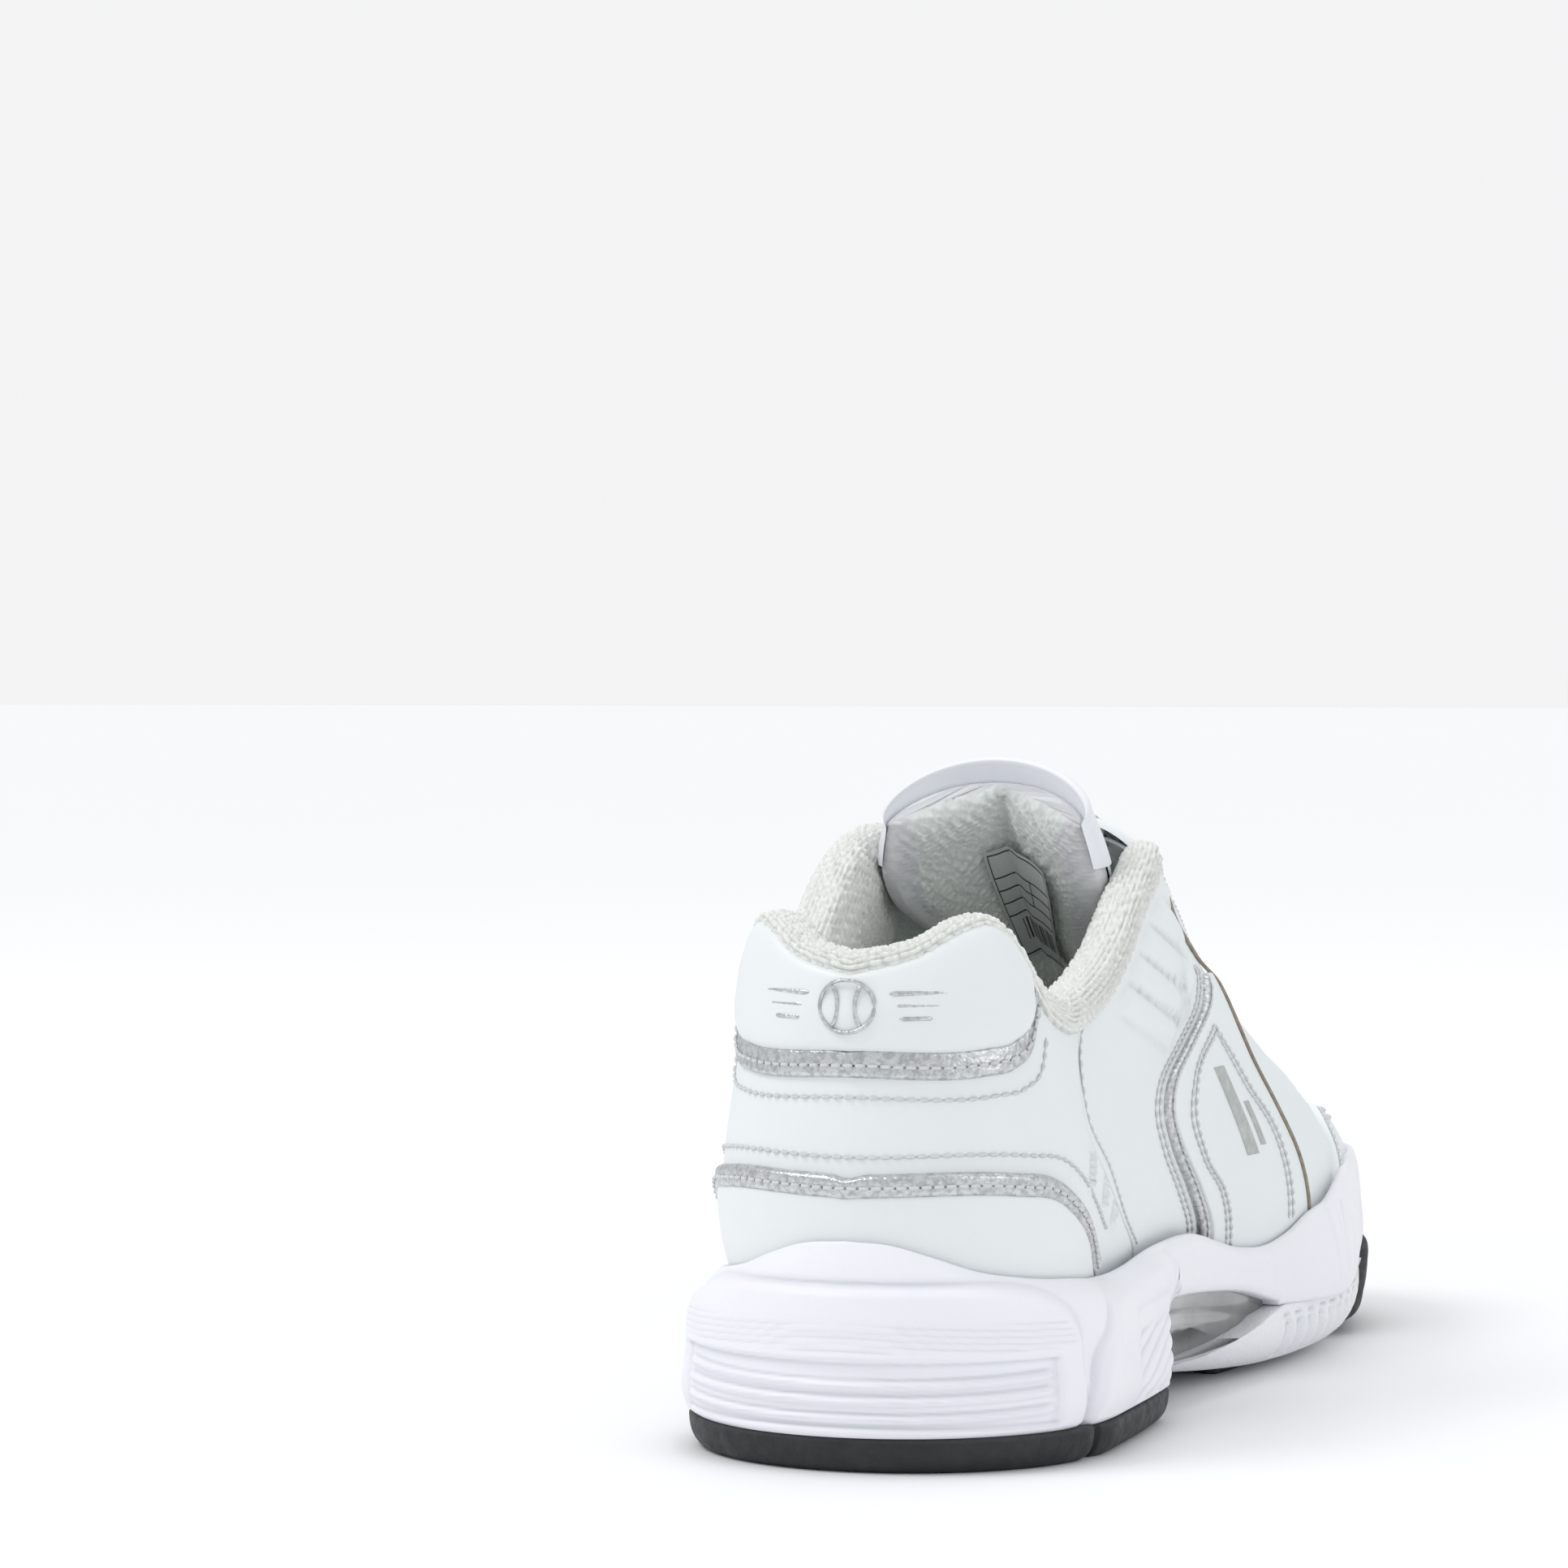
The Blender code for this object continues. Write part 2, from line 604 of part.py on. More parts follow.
def build_saddles():
    """Side overlays with the silver stripe in front of the quarter and a printed mark."""
    low = overlay_foot(around(90.0))

    def height(side, a, share):
        return max(level_at(side, a, low + (SADDLE_TOP - low) * share), 0.02)

    def at(line, shift):
        return lambda share: line(low + (SADDLE_TOP - low) * share) + shift

    for name, side in SIDES:
        start, end = on_side(side, at(saddle_rear, 0.0), at(saddle_rear, STRIPE_WIDTH))
        sheet(name + "_stripe", start, end, height, TRIM, SILVER, rows=10, columns=1)
        start, end = on_side(side, at(saddle_rear, STRIPE_WIDTH + GAP), at(saddle_front, 0.0))
        sheet(name + "_saddle", start, end, height, OVERLAY, LEATHER, rows=10, columns=5)
        start, end = on_side(side, lambda v: 150.0 - 13.0 * v, lambda v: 155.0 - 13.0 * v)
        sheet(name + "_mark", start, end,
              lambda side, a, v: level_at(side, a, 47.0 + 16.0 * v),
              (OVERLAY[1] + 0.1, OVERLAY[1] + 0.5), MARK, rows=3, columns=1)


def build_eyestays():
    def level(side, a, share):
        edge = level_beside_ridge(side, a, throat_half_width(a) + 0.8)
        return edge - EYESTAY_DEPTH * (1.0 - share)

    for name, side in SIDES:
        start, end = on_side(side, constant(COLLAR_FRONT + 3.0), constant(THROAT - 4.0))
        sheet(name + "_eyestay", start, end, level, OVERLAY, LEATHER, rows=3, columns=6)


def build_toe():
    """Toe overlay outside the vamp and the stiffener inside it."""
    sheet("toe_overlay", lambda v: 192.0 + 34.0 * v, lambda v: 2 * TOE_END - 192.0 - 34.0 * v,
          lambda side, a, v: 0.5 + 3.1 * v, OVERLAY, LEATHER, rows=5, columns=26)
    sheet("toe_puff", constant(FLEX + 20.0), constant(2 * TOE_END - FLEX - 20.0),
          lambda side, a, v: 0.3 + 4.8 * v, STIFFENER, STIFF, rows=5, columns=24)


def build_heel_counter():
    sheet("heel_counter", constant(-88.0), constant(88.0),
          between_heights(lambda a: overlay_foot(a) + 0.5,
                          curve((0, 67), (30, 66), (50, 58), (70, 50), (88, 38))),
          STIFFENER, STIFF, rows=4, columns=20)


# ---------------------------------------------------------------- lining and padding

def inside(side, a, depth, z):
    """Point at a height, this far in from the upper; above the collar seam it rises straight."""
    wall = upper_radius(side, a, min(z, collar_seam[side](a) - 3.0))
    return at_radius(side, a, wall - depth, z)


collar_pad = curve((0, 8.2), (60, 8.6), (95, 7.8), (121, 7.0))


def collar_lining_section(side, a):
    """Knit that comes over the collar lip and runs down to the footbed."""
    seam = collar_seam[side](a) + 2 * GAP
    lip = collar_seam[side](a) + GAP + lip_rise(a)
    pad = collar_pad(a)
    foot = profile_point(side, a, 0.0)[1] + 0.4
    low = foot + (lip - 27.0 - foot) * 0.5
    skin = 1.0
    outer_face = [(0.2, seam), (0.3, (seam + lip) / 2), (2.2, lip), (pad - 2.2, lip - 0.4),
                  (pad, lip - 4.5), (pad, lip - 12.0), (-LINING[0] + 0.6, lip - 22.0),
                  (-LINING[0], lip - 27.0), (-LINING[0], low), (-LINING[0], foot)]
    inner_face = [(-LINING[1], foot), (-LINING[1], low), (-LINING[1], lip - 27.0),
                  (-LINING[1] + 0.4, lip - 21.0), (pad - skin, lip - 12.0),
                  (pad - skin, lip - 5.0), (pad - 2.8, lip - 1.4), (2.6, lip - 1.2),
                  (1.2, (seam + lip) / 2), (1.1, seam)]
    return [inside(side, a, depth, z) for depth, z in outer_face + inner_face]


def collar_padding_section(side, a):
    lip = collar_seam[side](a) + GAP + lip_rise(a)
    pad = collar_pad(a) - 1.7
    ring = [(3.2, lip - 2.0), (pad - 1.2, lip - 2.4), (pad, lip - 5.8), (pad, lip - 12.0),
            (4.2, lip - 17.5), (3.7, lip - 17.5), (2.9, lip - 10.0), (2.7, lip - 4.0)]
    return [inside(side, a, depth, z) for depth, z in ring]


def build_lining():
    hoop("collar_lining", -COLLAR_FRONT, COLLAR_FRONT, collar_lining_section, KNIT,
         to_centre=False)
    hoop("collar_padding", 7.0 - COLLAR_FRONT, COLLAR_FRONT - 7.0, collar_padding_section, FOAM,
         to_centre=False)
    start = COLLAR_FRONT + 2.0
    sheet("vamp_lining", constant(start), constant(2 * TOE_END - start), whole_height, LINING,
          FABRIC, rows=7, columns=40)


# ---------------------------------------------------------------- tongue and lace

TONGUE_PIVOT = (0.0, 125.0, 67.0)
tongue_y = curve((0.0, 125.0), (0.25, 106.0), (0.55, 82.0), (0.77, 69.0), (1.0, 58.0))
tongue_z = curve((0.0, 68.5), (0.25, 80.5), (0.55, 98.0), (0.77, 110.5), (1.0, 124.0))
tongue_radius = curve((0.0, 21.0), (0.5, 22.5), (0.8, 23.5), (1.0, 24.0))
tongue_spread = curve((0.0, 40.0), (0.3, 50.0), (0.6, 58.0), (0.85, 62.0), (1.0, 48.0))


def tongue_point(share, across, depth):
    """Point of the arched tongue: `share` up its length, `across` from -1 to 1, `depth` inward."""
    step = 0.01
    low, high = max(share - step, 0.0), min(share + step, 1.0)
    along = np.array([0.0, tongue_y(high) - tongue_y(low), tongue_z(high) - tongue_z(low)])
    along /= np.linalg.norm(along)
    normal = np.array([0.0, along[2], -along[1]])
    angle = math.radians(tongue_spread(share)) * across
    radius = tongue_radius(share)
    r = radius - depth
    middle = np.array([0.0, tongue_y(share), tongue_z(share)]) - normal * radius
    return middle + normal * (r * math.cos(angle)) + np.array([r * math.sin(angle), 0.0, 0.0])


def tongue_layer(name, depths, shares, width, made_of, rows=8, columns=10):
    """One layer of the tongue between two depths, two shares of its length and a half-width."""
    mesh = bmesh.new()
    rings = []
    for share in steps(*shares, (shares[1] - shares[0]) / rows):
        spots = steps(width[0], width[1], (width[1] - width[0]) / columns)
        rings.append([tongue_point(share, spot, depths[0]) for spot in spots]
                     + [tongue_point(share, spot, depths[1]) for spot in spots[::-1]])
    add_rings(mesh, rings)
    return place(name, mesh, made_of, TONGUE_PIVOT)


def build_tongue():
    tongue_layer("tongue_face", (0.0, 1.2), (0.0, 1.0), (-1.0, 1.0), LEATHER)
    tongue_layer("tongue_padding", (1.2 + GAP, 7.0), (0.06, 0.97), (-0.93, 0.93), FOAM)
    tongue_layer("tongue_lining", (7.0 + GAP, 8.4), (0.0, 0.99), (-0.97, 0.97), KNIT)
    tongue_layer("tongue_tab", (-1.5, -GAP), (0.78, 0.99), (-0.75, 0.75), LEATHER,
                 rows=3, columns=6)
    tongue_layer("size_label", (8.4 + GAP, 9.1), (0.42, 0.82), (-0.1, 0.85), LABEL,
                 rows=4, columns=5)


LACE_ROWS = 7
LACE_WIDTH = 4.4
LACE_THICKNESS = 1.2


def lace_spot(side, row):
    """Where the lace turns on an eyestay, and the surface normal there."""
    a = THROAT - 9.0 + (COLLAR_FRONT + 7.0 - THROAT + 9.0) * row / (LACE_ROWS - 1)
    level = level_beside_ridge(side, a, throat_half_width(a) + 4.0)
    lift = OVERLAY[1] + GAP
    return upper_point(side, a, level, lift), last_normal(side, a, level)


def build_lace():
    """One flat lace that runs across the opening row by row, up over the eyestays."""
    path = []
    for row in range(LACE_ROWS):
        ends = [lace_spot(side, row) for side in (OUTER, INNER)]
        if row % 2:
            ends.reverse()
        middle = (ends[0][0] + ends[1][0]) / 2 + np.array([0.0, 0.9, 1.2]) * LACE_WIDTH
        path += [ends[0], (middle, np.array([0.0, 0.6, 0.8])), ends[1]]
    mesh = bmesh.new()
    add_rings(mesh, ribbon_rings(path))
    place("lace", mesh, LACING)


def ribbon_rings(path):
    """Rings of a flat ribbon through (point, normal) stops, mitred at its corners."""
    points = [stop[0] for stop in path]
    headings = [(b - a) / np.linalg.norm(b - a) for a, b in zip(points, points[1:])]
    before, after = headings[:1] + headings, headings + headings[-1:]
    rings = []
    for (point, normal), come, leave in zip(path, before, after):
        across = np.cross(normal, come) + np.cross(normal, leave)
        across /= np.linalg.norm(across)
        across *= 0.5 * LACE_WIDTH / max(float(np.dot(across, np.cross(normal, leave))), 0.5)
        up = normal * LACE_THICKNESS
        rings.append([point - across, point + across, point + across + up, point - across + up])
    return rings


def build():
    for piece in list(bpy.data.objects):
        bpy.data.objects.remove(piece, do_unlink=True)
    build_heel_tread()
    build_forefoot_sole()
    build_midsole()
    build_shank()
    build_footbed()
    build_base_panels()
    build_heel_overlays()
    build_saddles()
    build_eyestays()
    build_toe()
    build_heel_counter()
    build_lining()
    build_tongue()
    build_lace()


build()
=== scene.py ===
"""The looks of a right-foot court shoe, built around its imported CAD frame.

Lengths are drawn in millimetres and scaled to the frame by MM. A point of the upper is named by
its signed position round the foot (0 at the centre of the back, growing along the outer side and
round the toe to the inner side, negative along the inner side) and by its level, 0 at the sole
edge and TOP at the ridge over the instep, or by its height.
"""

import math

import bmesh
import bpy
import numpy as np
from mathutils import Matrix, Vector


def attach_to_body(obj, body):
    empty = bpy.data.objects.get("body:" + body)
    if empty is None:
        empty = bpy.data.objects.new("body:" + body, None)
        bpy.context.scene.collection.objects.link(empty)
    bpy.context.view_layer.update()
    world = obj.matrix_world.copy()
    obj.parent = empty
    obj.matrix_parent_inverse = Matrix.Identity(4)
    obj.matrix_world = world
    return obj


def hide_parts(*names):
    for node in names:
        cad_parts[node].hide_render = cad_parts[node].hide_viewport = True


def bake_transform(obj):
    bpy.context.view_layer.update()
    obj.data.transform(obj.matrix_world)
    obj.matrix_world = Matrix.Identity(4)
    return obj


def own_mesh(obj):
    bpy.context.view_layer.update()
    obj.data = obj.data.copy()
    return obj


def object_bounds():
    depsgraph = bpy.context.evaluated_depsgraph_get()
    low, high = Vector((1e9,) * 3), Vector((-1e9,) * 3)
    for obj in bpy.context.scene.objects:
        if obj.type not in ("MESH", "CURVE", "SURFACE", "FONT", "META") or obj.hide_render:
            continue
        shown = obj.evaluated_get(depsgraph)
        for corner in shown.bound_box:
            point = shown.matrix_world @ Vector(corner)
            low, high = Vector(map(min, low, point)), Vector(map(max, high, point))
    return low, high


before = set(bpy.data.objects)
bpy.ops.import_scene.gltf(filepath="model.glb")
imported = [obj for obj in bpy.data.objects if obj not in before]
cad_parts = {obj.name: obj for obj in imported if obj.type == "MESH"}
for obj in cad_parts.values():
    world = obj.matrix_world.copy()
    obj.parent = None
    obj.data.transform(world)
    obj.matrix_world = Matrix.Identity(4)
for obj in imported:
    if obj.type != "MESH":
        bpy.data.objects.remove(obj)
cad_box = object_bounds()

DRAWN_LENGTH = 275.2
MM = (cad_box[1].y - cad_box[0].y) / DRAWN_LENGTH
FLEX = "flex"                # pieces that span the rearfoot and the forefoot, tied to neither body

HEEL_ARC = 55.0              # outline length of the quarter turn at the back
TOE_ARC = 57.0               # outline length of the quarter turn at the toe
TOE_Y = 190.0                # where the toe starts to round
TOE_START = HEEL_ARC + TOE_Y
TOE_END = TOE_START + TOE_ARC
TOP = 6                      # level of the ridge


def around(y):
    """Position round the foot of a place on its straight part."""
    return HEEL_ARC + y


# position round the foot, heights of the seven levels, half-widths of the outer and inner side
LAST = [
    (0.0, (28, 38, 50, 64, 80, 96, 114),
     (31, 34, 35, 34.6, 33.8, 33, 32), (31, 34, 35, 34.6, 33.8, 33, 32)),
    (27.5, (28, 38, 50, 64, 80, 96, 114),
     (30.5, 33.4, 34.2, 33, 30.8, 28.8, 27.5), (30.5, 33.4, 34.2, 33, 30.8, 28.8, 27.5)),
    (around(0), (28, 38, 50, 64, 80, 96, 114),
     (30, 33, 33.8, 32, 29.2, 27.2, 26), (29.5, 32.5, 33.3, 31.5, 29, 27.2, 26)),
    (around(24), (27.5, 38, 51, 66, 82, 98, 114),
     (29.5, 32.8, 33.4, 31.4, 29.2, 27.5, 26), (28, 31.5, 32.5, 31.5, 31, 30, 29)),
    (around(50), (26, 37, 51, 67, 86, 102, 115),
     (30, 33.6, 34.4, 33, 31, 28.5, 24), (27.5, 31.5, 33, 32.8, 32.6, 31, 27)),
    (around(66), (25.5, 36.5, 50.5, 67, 86, 102, 112),
     (31, 35, 36, 34.3, 31.5, 28, 10), (27.5, 32, 34, 33.4, 32.2, 29, 10)),
    (around(82), (24.5, 35.5, 49.5, 65.5, 83, 98, 106),
     (32.5, 36.5, 37.5, 35.5, 31.5, 22, 0), (28, 33, 35.2, 33.5, 30, 21, 0)),
    (around(105), (21.5, 32, 46, 60, 74, 85.5, 91),
     (36, 40, 40.8, 38, 31.5, 19, 0), (31.5, 36.5, 38, 35.5, 28.5, 17.5, 0)),
    (around(129), (19, 28, 40, 52, 63, 71.5, 76),
     (38, 42.5, 43.3, 40.5, 32.5, 18.5, 0), (36, 41, 42.5, 39.5, 31, 17.5, 0)),
    (around(153), (17, 25, 35, 45, 55, 62, 65.5),
     (38, 41.5, 42, 39, 32, 18.5, 0), (39.5, 44, 45, 42, 33, 18.5, 0)),
    (around(174), (17.5, 24, 33, 42, 50.5, 56.5, 59.5),
     (36.5, 40, 40.5, 37.5, 31, 17.5, 0), (40, 44.5, 45, 42, 33, 18.5, 0)),
    (TOE_START, (18.5, 24, 32, 40.5, 48.5, 53.5, 56),
     (34.5, 38, 38.5, 36, 29.5, 16.5, 0), (38, 42.5, 43, 40, 31.5, 17.5, 0)),
    (TOE_START + TOE_ARC / 2, (19.5, 24.5, 31.5, 39.5, 47.5, 53, 56),
     (34.5, 38, 38.5, 36, 29, 16.2, 0), (36.5, 41, 41.5, 38.5, 30.5, 17, 0)),
    (TOE_END, (20.5, 25, 31.5, 39, 47, 52.8, 56),
     (35.5, 39, 39.5, 37, 30, 16.5, 0), (35.5, 39, 39.5, 37, 30, 16.5, 0)),
]
LAST_AT = [row[0] for row in LAST]
LAST_OUTER = [np.column_stack([row[2], row[1]]) for row in LAST]
LAST_INNER = [np.column_stack([row[3], row[1]]) for row in LAST]


# ---------------------------------------------------------------- curves and the last surface

def smooth(at, knots, values):
    """Values of a smooth curve through (knots, values); values may be arrays."""
    knots = np.asarray(knots, float)
    values = np.asarray(values, float)
    shape = (-1,) + (1,) * (values.ndim - 1)
    span = np.diff(knots)
    slope = np.diff(values, axis=0) / span.reshape(shape)
    share = (span[1:] / (span[:-1] + span[1:])).reshape(shape)
    tangent = np.concatenate([slope[:1], slope[:-1] * share + slope[1:] * (1 - share), slope[-1:]])
    at = np.clip(np.asarray(at, float), knots[0], knots[-1])
    i = np.clip(np.searchsorted(knots, at) - 1, 0, len(knots) - 2)
    shape = at.shape + (1,) * (values.ndim - 1)
    f = ((at - knots[i]) / span[i]).reshape(shape)
    h = span[i].reshape(shape)
    return ((2 * f**3 - 3 * f**2 + 1) * values[i] + (f**3 - 2 * f**2 + f) * h * tangent[i]
            + (3 * f**2 - 2 * f**3) * values[i + 1] + (f**3 - f**2) * h * tangent[i + 1])


def curve(*points):
    """A function of one number or array, smooth through the given (number, value) points."""
    knots, values = zip(*points)
    return lambda at: smooth(at, knots, values)


def step(low, high, x):
    """0 below low, 1 above high, smooth between."""
    f = np.clip((x - low) / (high - low), 0, 1)
    return f * f * (3 - 2 * f)


def band(x, rise, fall):
    """1 between two smooth steps; rise and fall are (from, to)."""
    return step(*rise, x) * (1 - step(*fall, x))


def bump(x, width):
    """1 at zero, falling smoothly to nothing a few widths away."""
    return np.exp(-(x / width) ** 2)


def unfold(s):
    """Whether a signed position is on the outer side, and its distance from the back's centre."""
    s = np.asarray(s, float)
    past = s > TOE_END
    return (s >= 0) & ~past, np.where(past, 2 * TOE_END - s, np.abs(s))


def station_rows(s):
    """Half-widths and heights of the levels, with one extra row past each end."""
    outer, a = unfold(s)
    rows = np.where(outer[..., None, None], smooth(a, LAST_AT, LAST_OUTER),
                    smooth(a, LAST_AT, LAST_INNER))
    below = 2 * rows[..., :1, :] - rows[..., 1:2, :]
    beyond = rows[..., TOP - 1:TOP, :] * (-1, 1)
    return np.concatenate([below, rows, beyond], axis=-2)


def between(rows, level):
    """Half-width and height at a level of the station rows."""
    i = np.clip(np.asarray(level).astype(int), 0, TOP - 1)
    f = (level - i)[..., None]
    p = [np.take_along_axis(rows, (i + k)[..., None, None], axis=-2)[..., 0, :] for k in range(4)]
    return ((2 * f**3 - 3 * f**2 + 1) * p[1] + (f**3 - 2 * f**2 + f) * (p[2] - p[0]) / 2
            + (3 * f**2 - 2 * f**3) * p[2] + (f**3 - f**2) * (p[3] - p[1]) / 2)


def both(s, other):
    """The two as float arrays of one shape."""
    s, other = np.broadcast_arrays(np.asarray(s, float), np.asarray(other, float))
    return s, other


def profile(s, level):
    """Half-width and height of the last."""
    s, level = both(s, level)
    found = between(station_rows(s), level)
    return found[..., 0], found[..., 1]


centre_line = curve((0.0, 0.0), (60.0, 0.0), (110.0, 1.5), (155.0, 1.5), (190.0, -2.0))


def at_radius(s, r, z):
    """Points at a distance from the centre line and a height."""
    s, r = both(s, r)
    outer, a = unfold(s)
    side = np.where(outer, 1.0, -1.0)
    heel = np.minimum(a / HEEL_ARC, 1.0) * math.pi / 2
    toe = np.maximum((a - TOE_START) / TOE_ARC, 0.0) * math.pi / 2
    y = np.clip(a - HEEL_ARC, 0.0, TOE_Y)
    x = centre_line(y) + side * np.sin(heel) * np.cos(toe) * r
    return np.stack(np.broadcast_arrays(x, y + (np.sin(toe) - np.cos(heel)) * r, z), axis=-1)


def last_point(s, level):
    """Points on the last."""
    r, z = profile(s, level)
    return at_radius(s, r, z)


def unit(vectors):
    """The vectors at length one."""
    return vectors / np.maximum(np.linalg.norm(vectors, axis=-1, keepdims=True), 1e-9)


def last_normal(s, level):
    """Outward unit normals of the last."""
    h = 0.03
    s, level = both(s, level)
    along = last_point(s + h, level) - last_point(s - h, level)
    up = last_point(s, level + h) - last_point(s, np.maximum(level - h, 0.0))
    normal = np.cross(along, up)
    flat = np.linalg.norm(normal, axis=-1) < 1e-7
    normal[flat] = (0.0, 0.1, 1.0)
    return unit(normal)


def on_upper(s, level, depth):
    """Points on the last surface pushed out by depth."""
    s, level = both(s, level)
    return last_point(s, level) + np.asarray(depth)[..., None] * last_normal(s, level)


def solve_level(s, aim, column, low, rising):
    """Level where the half-width (column 0) or height (column 1) of the last meets its aim."""
    s, aim = both(s, aim)
    rows = station_rows(s)
    low, high = np.full(s.shape, float(low)), np.full(s.shape, float(TOP))
    for _ in range(20):
        middle = (low + high) / 2
        short = (between(rows, middle)[..., column] < aim) == rising
        low, high = np.where(short, middle, low), np.where(short, high, middle)
    return (low + high) / 2


def level_at(s, z):
    """Level where the last reaches a height."""
    return solve_level(s, z, 1, 0.0, True)


def level_beside_ridge(s, r):
    """Level above the widest part where the last is this far from the centre line."""
    return solve_level(s, r, 0, 3.0, False)


def beside(s, depth, z):
    """Points at a height, this far in from the upper; above the collar seam it rises straight."""
    r = profile(s, level_at(s, np.minimum(z, collar_seam(s) - 3.0)))[0]
    return at_radius(s, r - depth, z)


# ---------------------------------------------------------------- lines drawn on the upper

seam_outer = curve((0, 87), (12, 90), (22, 94.5), (29, 95.5), (35, 92), (40, 85.5), (45, 79.5),
                   (52, 76.2), (60, 75.4), (70, 76.6), (82, 79.6), (93, 85), (102, 91.5),
                   (112, 98), (122, 104.5))
seam_inner = curve((0, 87), (12, 90), (22, 94.5), (29, 95.5), (35, 92), (40, 86), (45, 81),
                   (52, 78.5), (60, 79), (70, 82.5), (82, 89), (93, 95.5), (102, 100),
                   (112, 103.4), (122, 105.6))
lip_rise_at = curve((0, 3.2), (18, 1.8), (28, 0.9), (38, 1.9), (46, 4.2), (60, 5.4), (80, 6.0),
                    (100, 6.0), (122, 5.0))
COLLAR_FRONT = 119.0
COLLAR_SLANT = 7.0
THROAT = around(128.0)       # front end of the lacing opening
throat_half_width = curve((118, 13.5), (150, 12.0), (172, 9.0), (THROAT, 1.0))
quarter_seam = curve((0.0, 99), (0.12, 95), (0.28, 83), (0.48, 70), (0.7, 58.5), (0.86, 59),
                     (1.0, 63))
quarter_front = curve((0.0, 132), (0.3, 128), (0.55, 134), (0.72, 145), (0.84, 138),
                      (0.93, 131.5), (1.0, COLLAR_FRONT + COLLAR_SLANT))
saddle_rear = curve((24, 132), (31, 129.5), (41, 119), (50, 110), (57.5, 107), (63, 111),
                    (69, 122), (75, 134), (81, 141))
saddle_front = curve((24, 181), (34, 176), (44, 170), (53, 162.5), (63, 155), (73, 150.5),
                     (81, 148))
stripe_width = curve((24, 5.4), (40, 4.6), (57, 2.6), (81, 2.2))
SADDLE_TOP = 81.0
foxing_top = curve((0, 47.5), (31, 47.3), (41, 45.8), (48, 42), (56, 36.8), (64, 31.5), (70, 28.4))
TRIM_WIDTH = 4.6
FOXING_FRONT = 68.0
tab_bottom = curve((0, 73.5), (26, 73.5), (33, 74.6), (38, 78), (40.5, 83))
TAB_FRONT = 40.0


def collar_seam(s):
    """Height of the seam where the leather meets the collar's knit."""
    outer, a = unfold(s)
    return np.where(outer, seam_outer(a), seam_inner(a))


def upper_edge(s):
    """Level where the outer leather ends."""
    outer, a = unfold(s)
    side = np.where(outer, 1.0, -1.0)
    at_collar = side * np.minimum(a, COLLAR_FRONT)
    collar = level_at(at_collar, collar_seam(at_collar))
    at_throat = side * np.maximum(a, COLLAR_FRONT + COLLAR_SLANT)
    throat = level_beside_ridge(at_throat, throat_half_width(np.abs(at_throat)))
    throat = np.where(np.abs(at_throat) >= THROAT, float(TOP), throat)
    share = np.clip((a - COLLAR_FRONT) / COLLAR_SLANT, 0.0, 1.0)
    return collar + (throat - collar) * share


# ---------------------------------------------------------------- meshes from grids of points

def attach(piece, body, stands_for):
    """Ties a piece to its body, or bakes a flex piece's placement into its mesh; hides the solids it
    stands for.
    """
    if body == FLEX:
        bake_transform(piece)
    else:
        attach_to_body(piece, body)
    if body == "tongue":                              # each tongue piece gets a mesh of its own
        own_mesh(piece)
    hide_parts(*stands_for)


def new_mesh(name, points, faces, made_of, uv=None, tone=None):
    """A smooth-shaded object from drawn points and faces, with optional per-point uv and a relief
    that weights painted shade.
    """
    data = bpy.data.meshes.new(name)
    data.from_pydata((np.asarray(points) * MM).tolist(), [], np.asarray(faces).tolist())
    if uv is not None:
        corner = np.zeros(len(data.loops), np.int32)
        data.loops.foreach_get("vertex_index", corner)
        data.uv_layers.new(name="pattern").data.foreach_set("uv", uv[corner].ravel())
    # relief per point, which the knit materials turn into painted shade in the hollows
    if tone is not None:
        data.attributes.new("tone", "FLOAT", "POINT").data.foreach_set(
            "value", np.asarray(tone, np.float32).ravel())
    data.shade_smooth()
    data.materials.append(made_of)
    piece = bpy.data.objects.new(name, data)
    bpy.context.scene.collection.objects.link(piece)
    return piece


def grid_faces(rows, columns, round_rows=False, round_columns=False):
    """Quads of a grid of points; either way round can be closed into a loop."""
    index = np.arange(rows * columns).reshape(rows, columns)
    if round_rows:
        index = np.vstack([index, index[:1]])
    if round_columns:
        index = np.hstack([index, index[:, :1]])
    a, b = index[:-1, :-1].ravel(), index[:-1, 1:].ravel()
    c, d = index[1:, 1:].ravel(), index[1:, :-1].ravel()
    return np.column_stack([a, b, c, d])


def grid(name, points, made_of, uv=None, tone=None, round_rows=False, round_columns=False):
    """A sheet through a rows x columns grid of drawn points."""
    rows, columns = points.shape[:2]
    faces = grid_faces(rows, columns, round_rows, round_columns)
    flat_uv = None if uv is None else np.stack(np.broadcast_arrays(*uv), -1).reshape(-1, 2)
    return new_mesh(name, points.reshape(-1, 3), faces, made_of, flat_uv, tone)


RIM = np.array([0.0, 0.12, 0.3, 0.55, 0.85, 1.2])


def rimmed(spacing, length):
    """Offsets and shares of positions along a length, crowded towards both of its ends."""
    count = max(2, round(length / spacing))
    inner = np.arange(1, count) / count
    offset = np.concatenate([RIM, np.full(count - 1, RIM[-1]), 2 * RIM[-1] - RIM[::-1]])
    share = np.concatenate([np.zeros(len(RIM)), inner, np.ones(len(RIM))])
    return offset, share


def rimmed_places(spacing, length):
    """Positions along a length, crowded towards both of its ends."""
    offset, share = rimmed(spacing, length)
    return offset + share * (length - 2 * RIM[-1])


def rounded(distance, low, high, radius):
    """Height of a sheet whose edge rounds down from high to low."""
    t = np.clip(1 - distance / radius, 0, 1)
    return low + (high - low) * np.sqrt(1 - t**2)


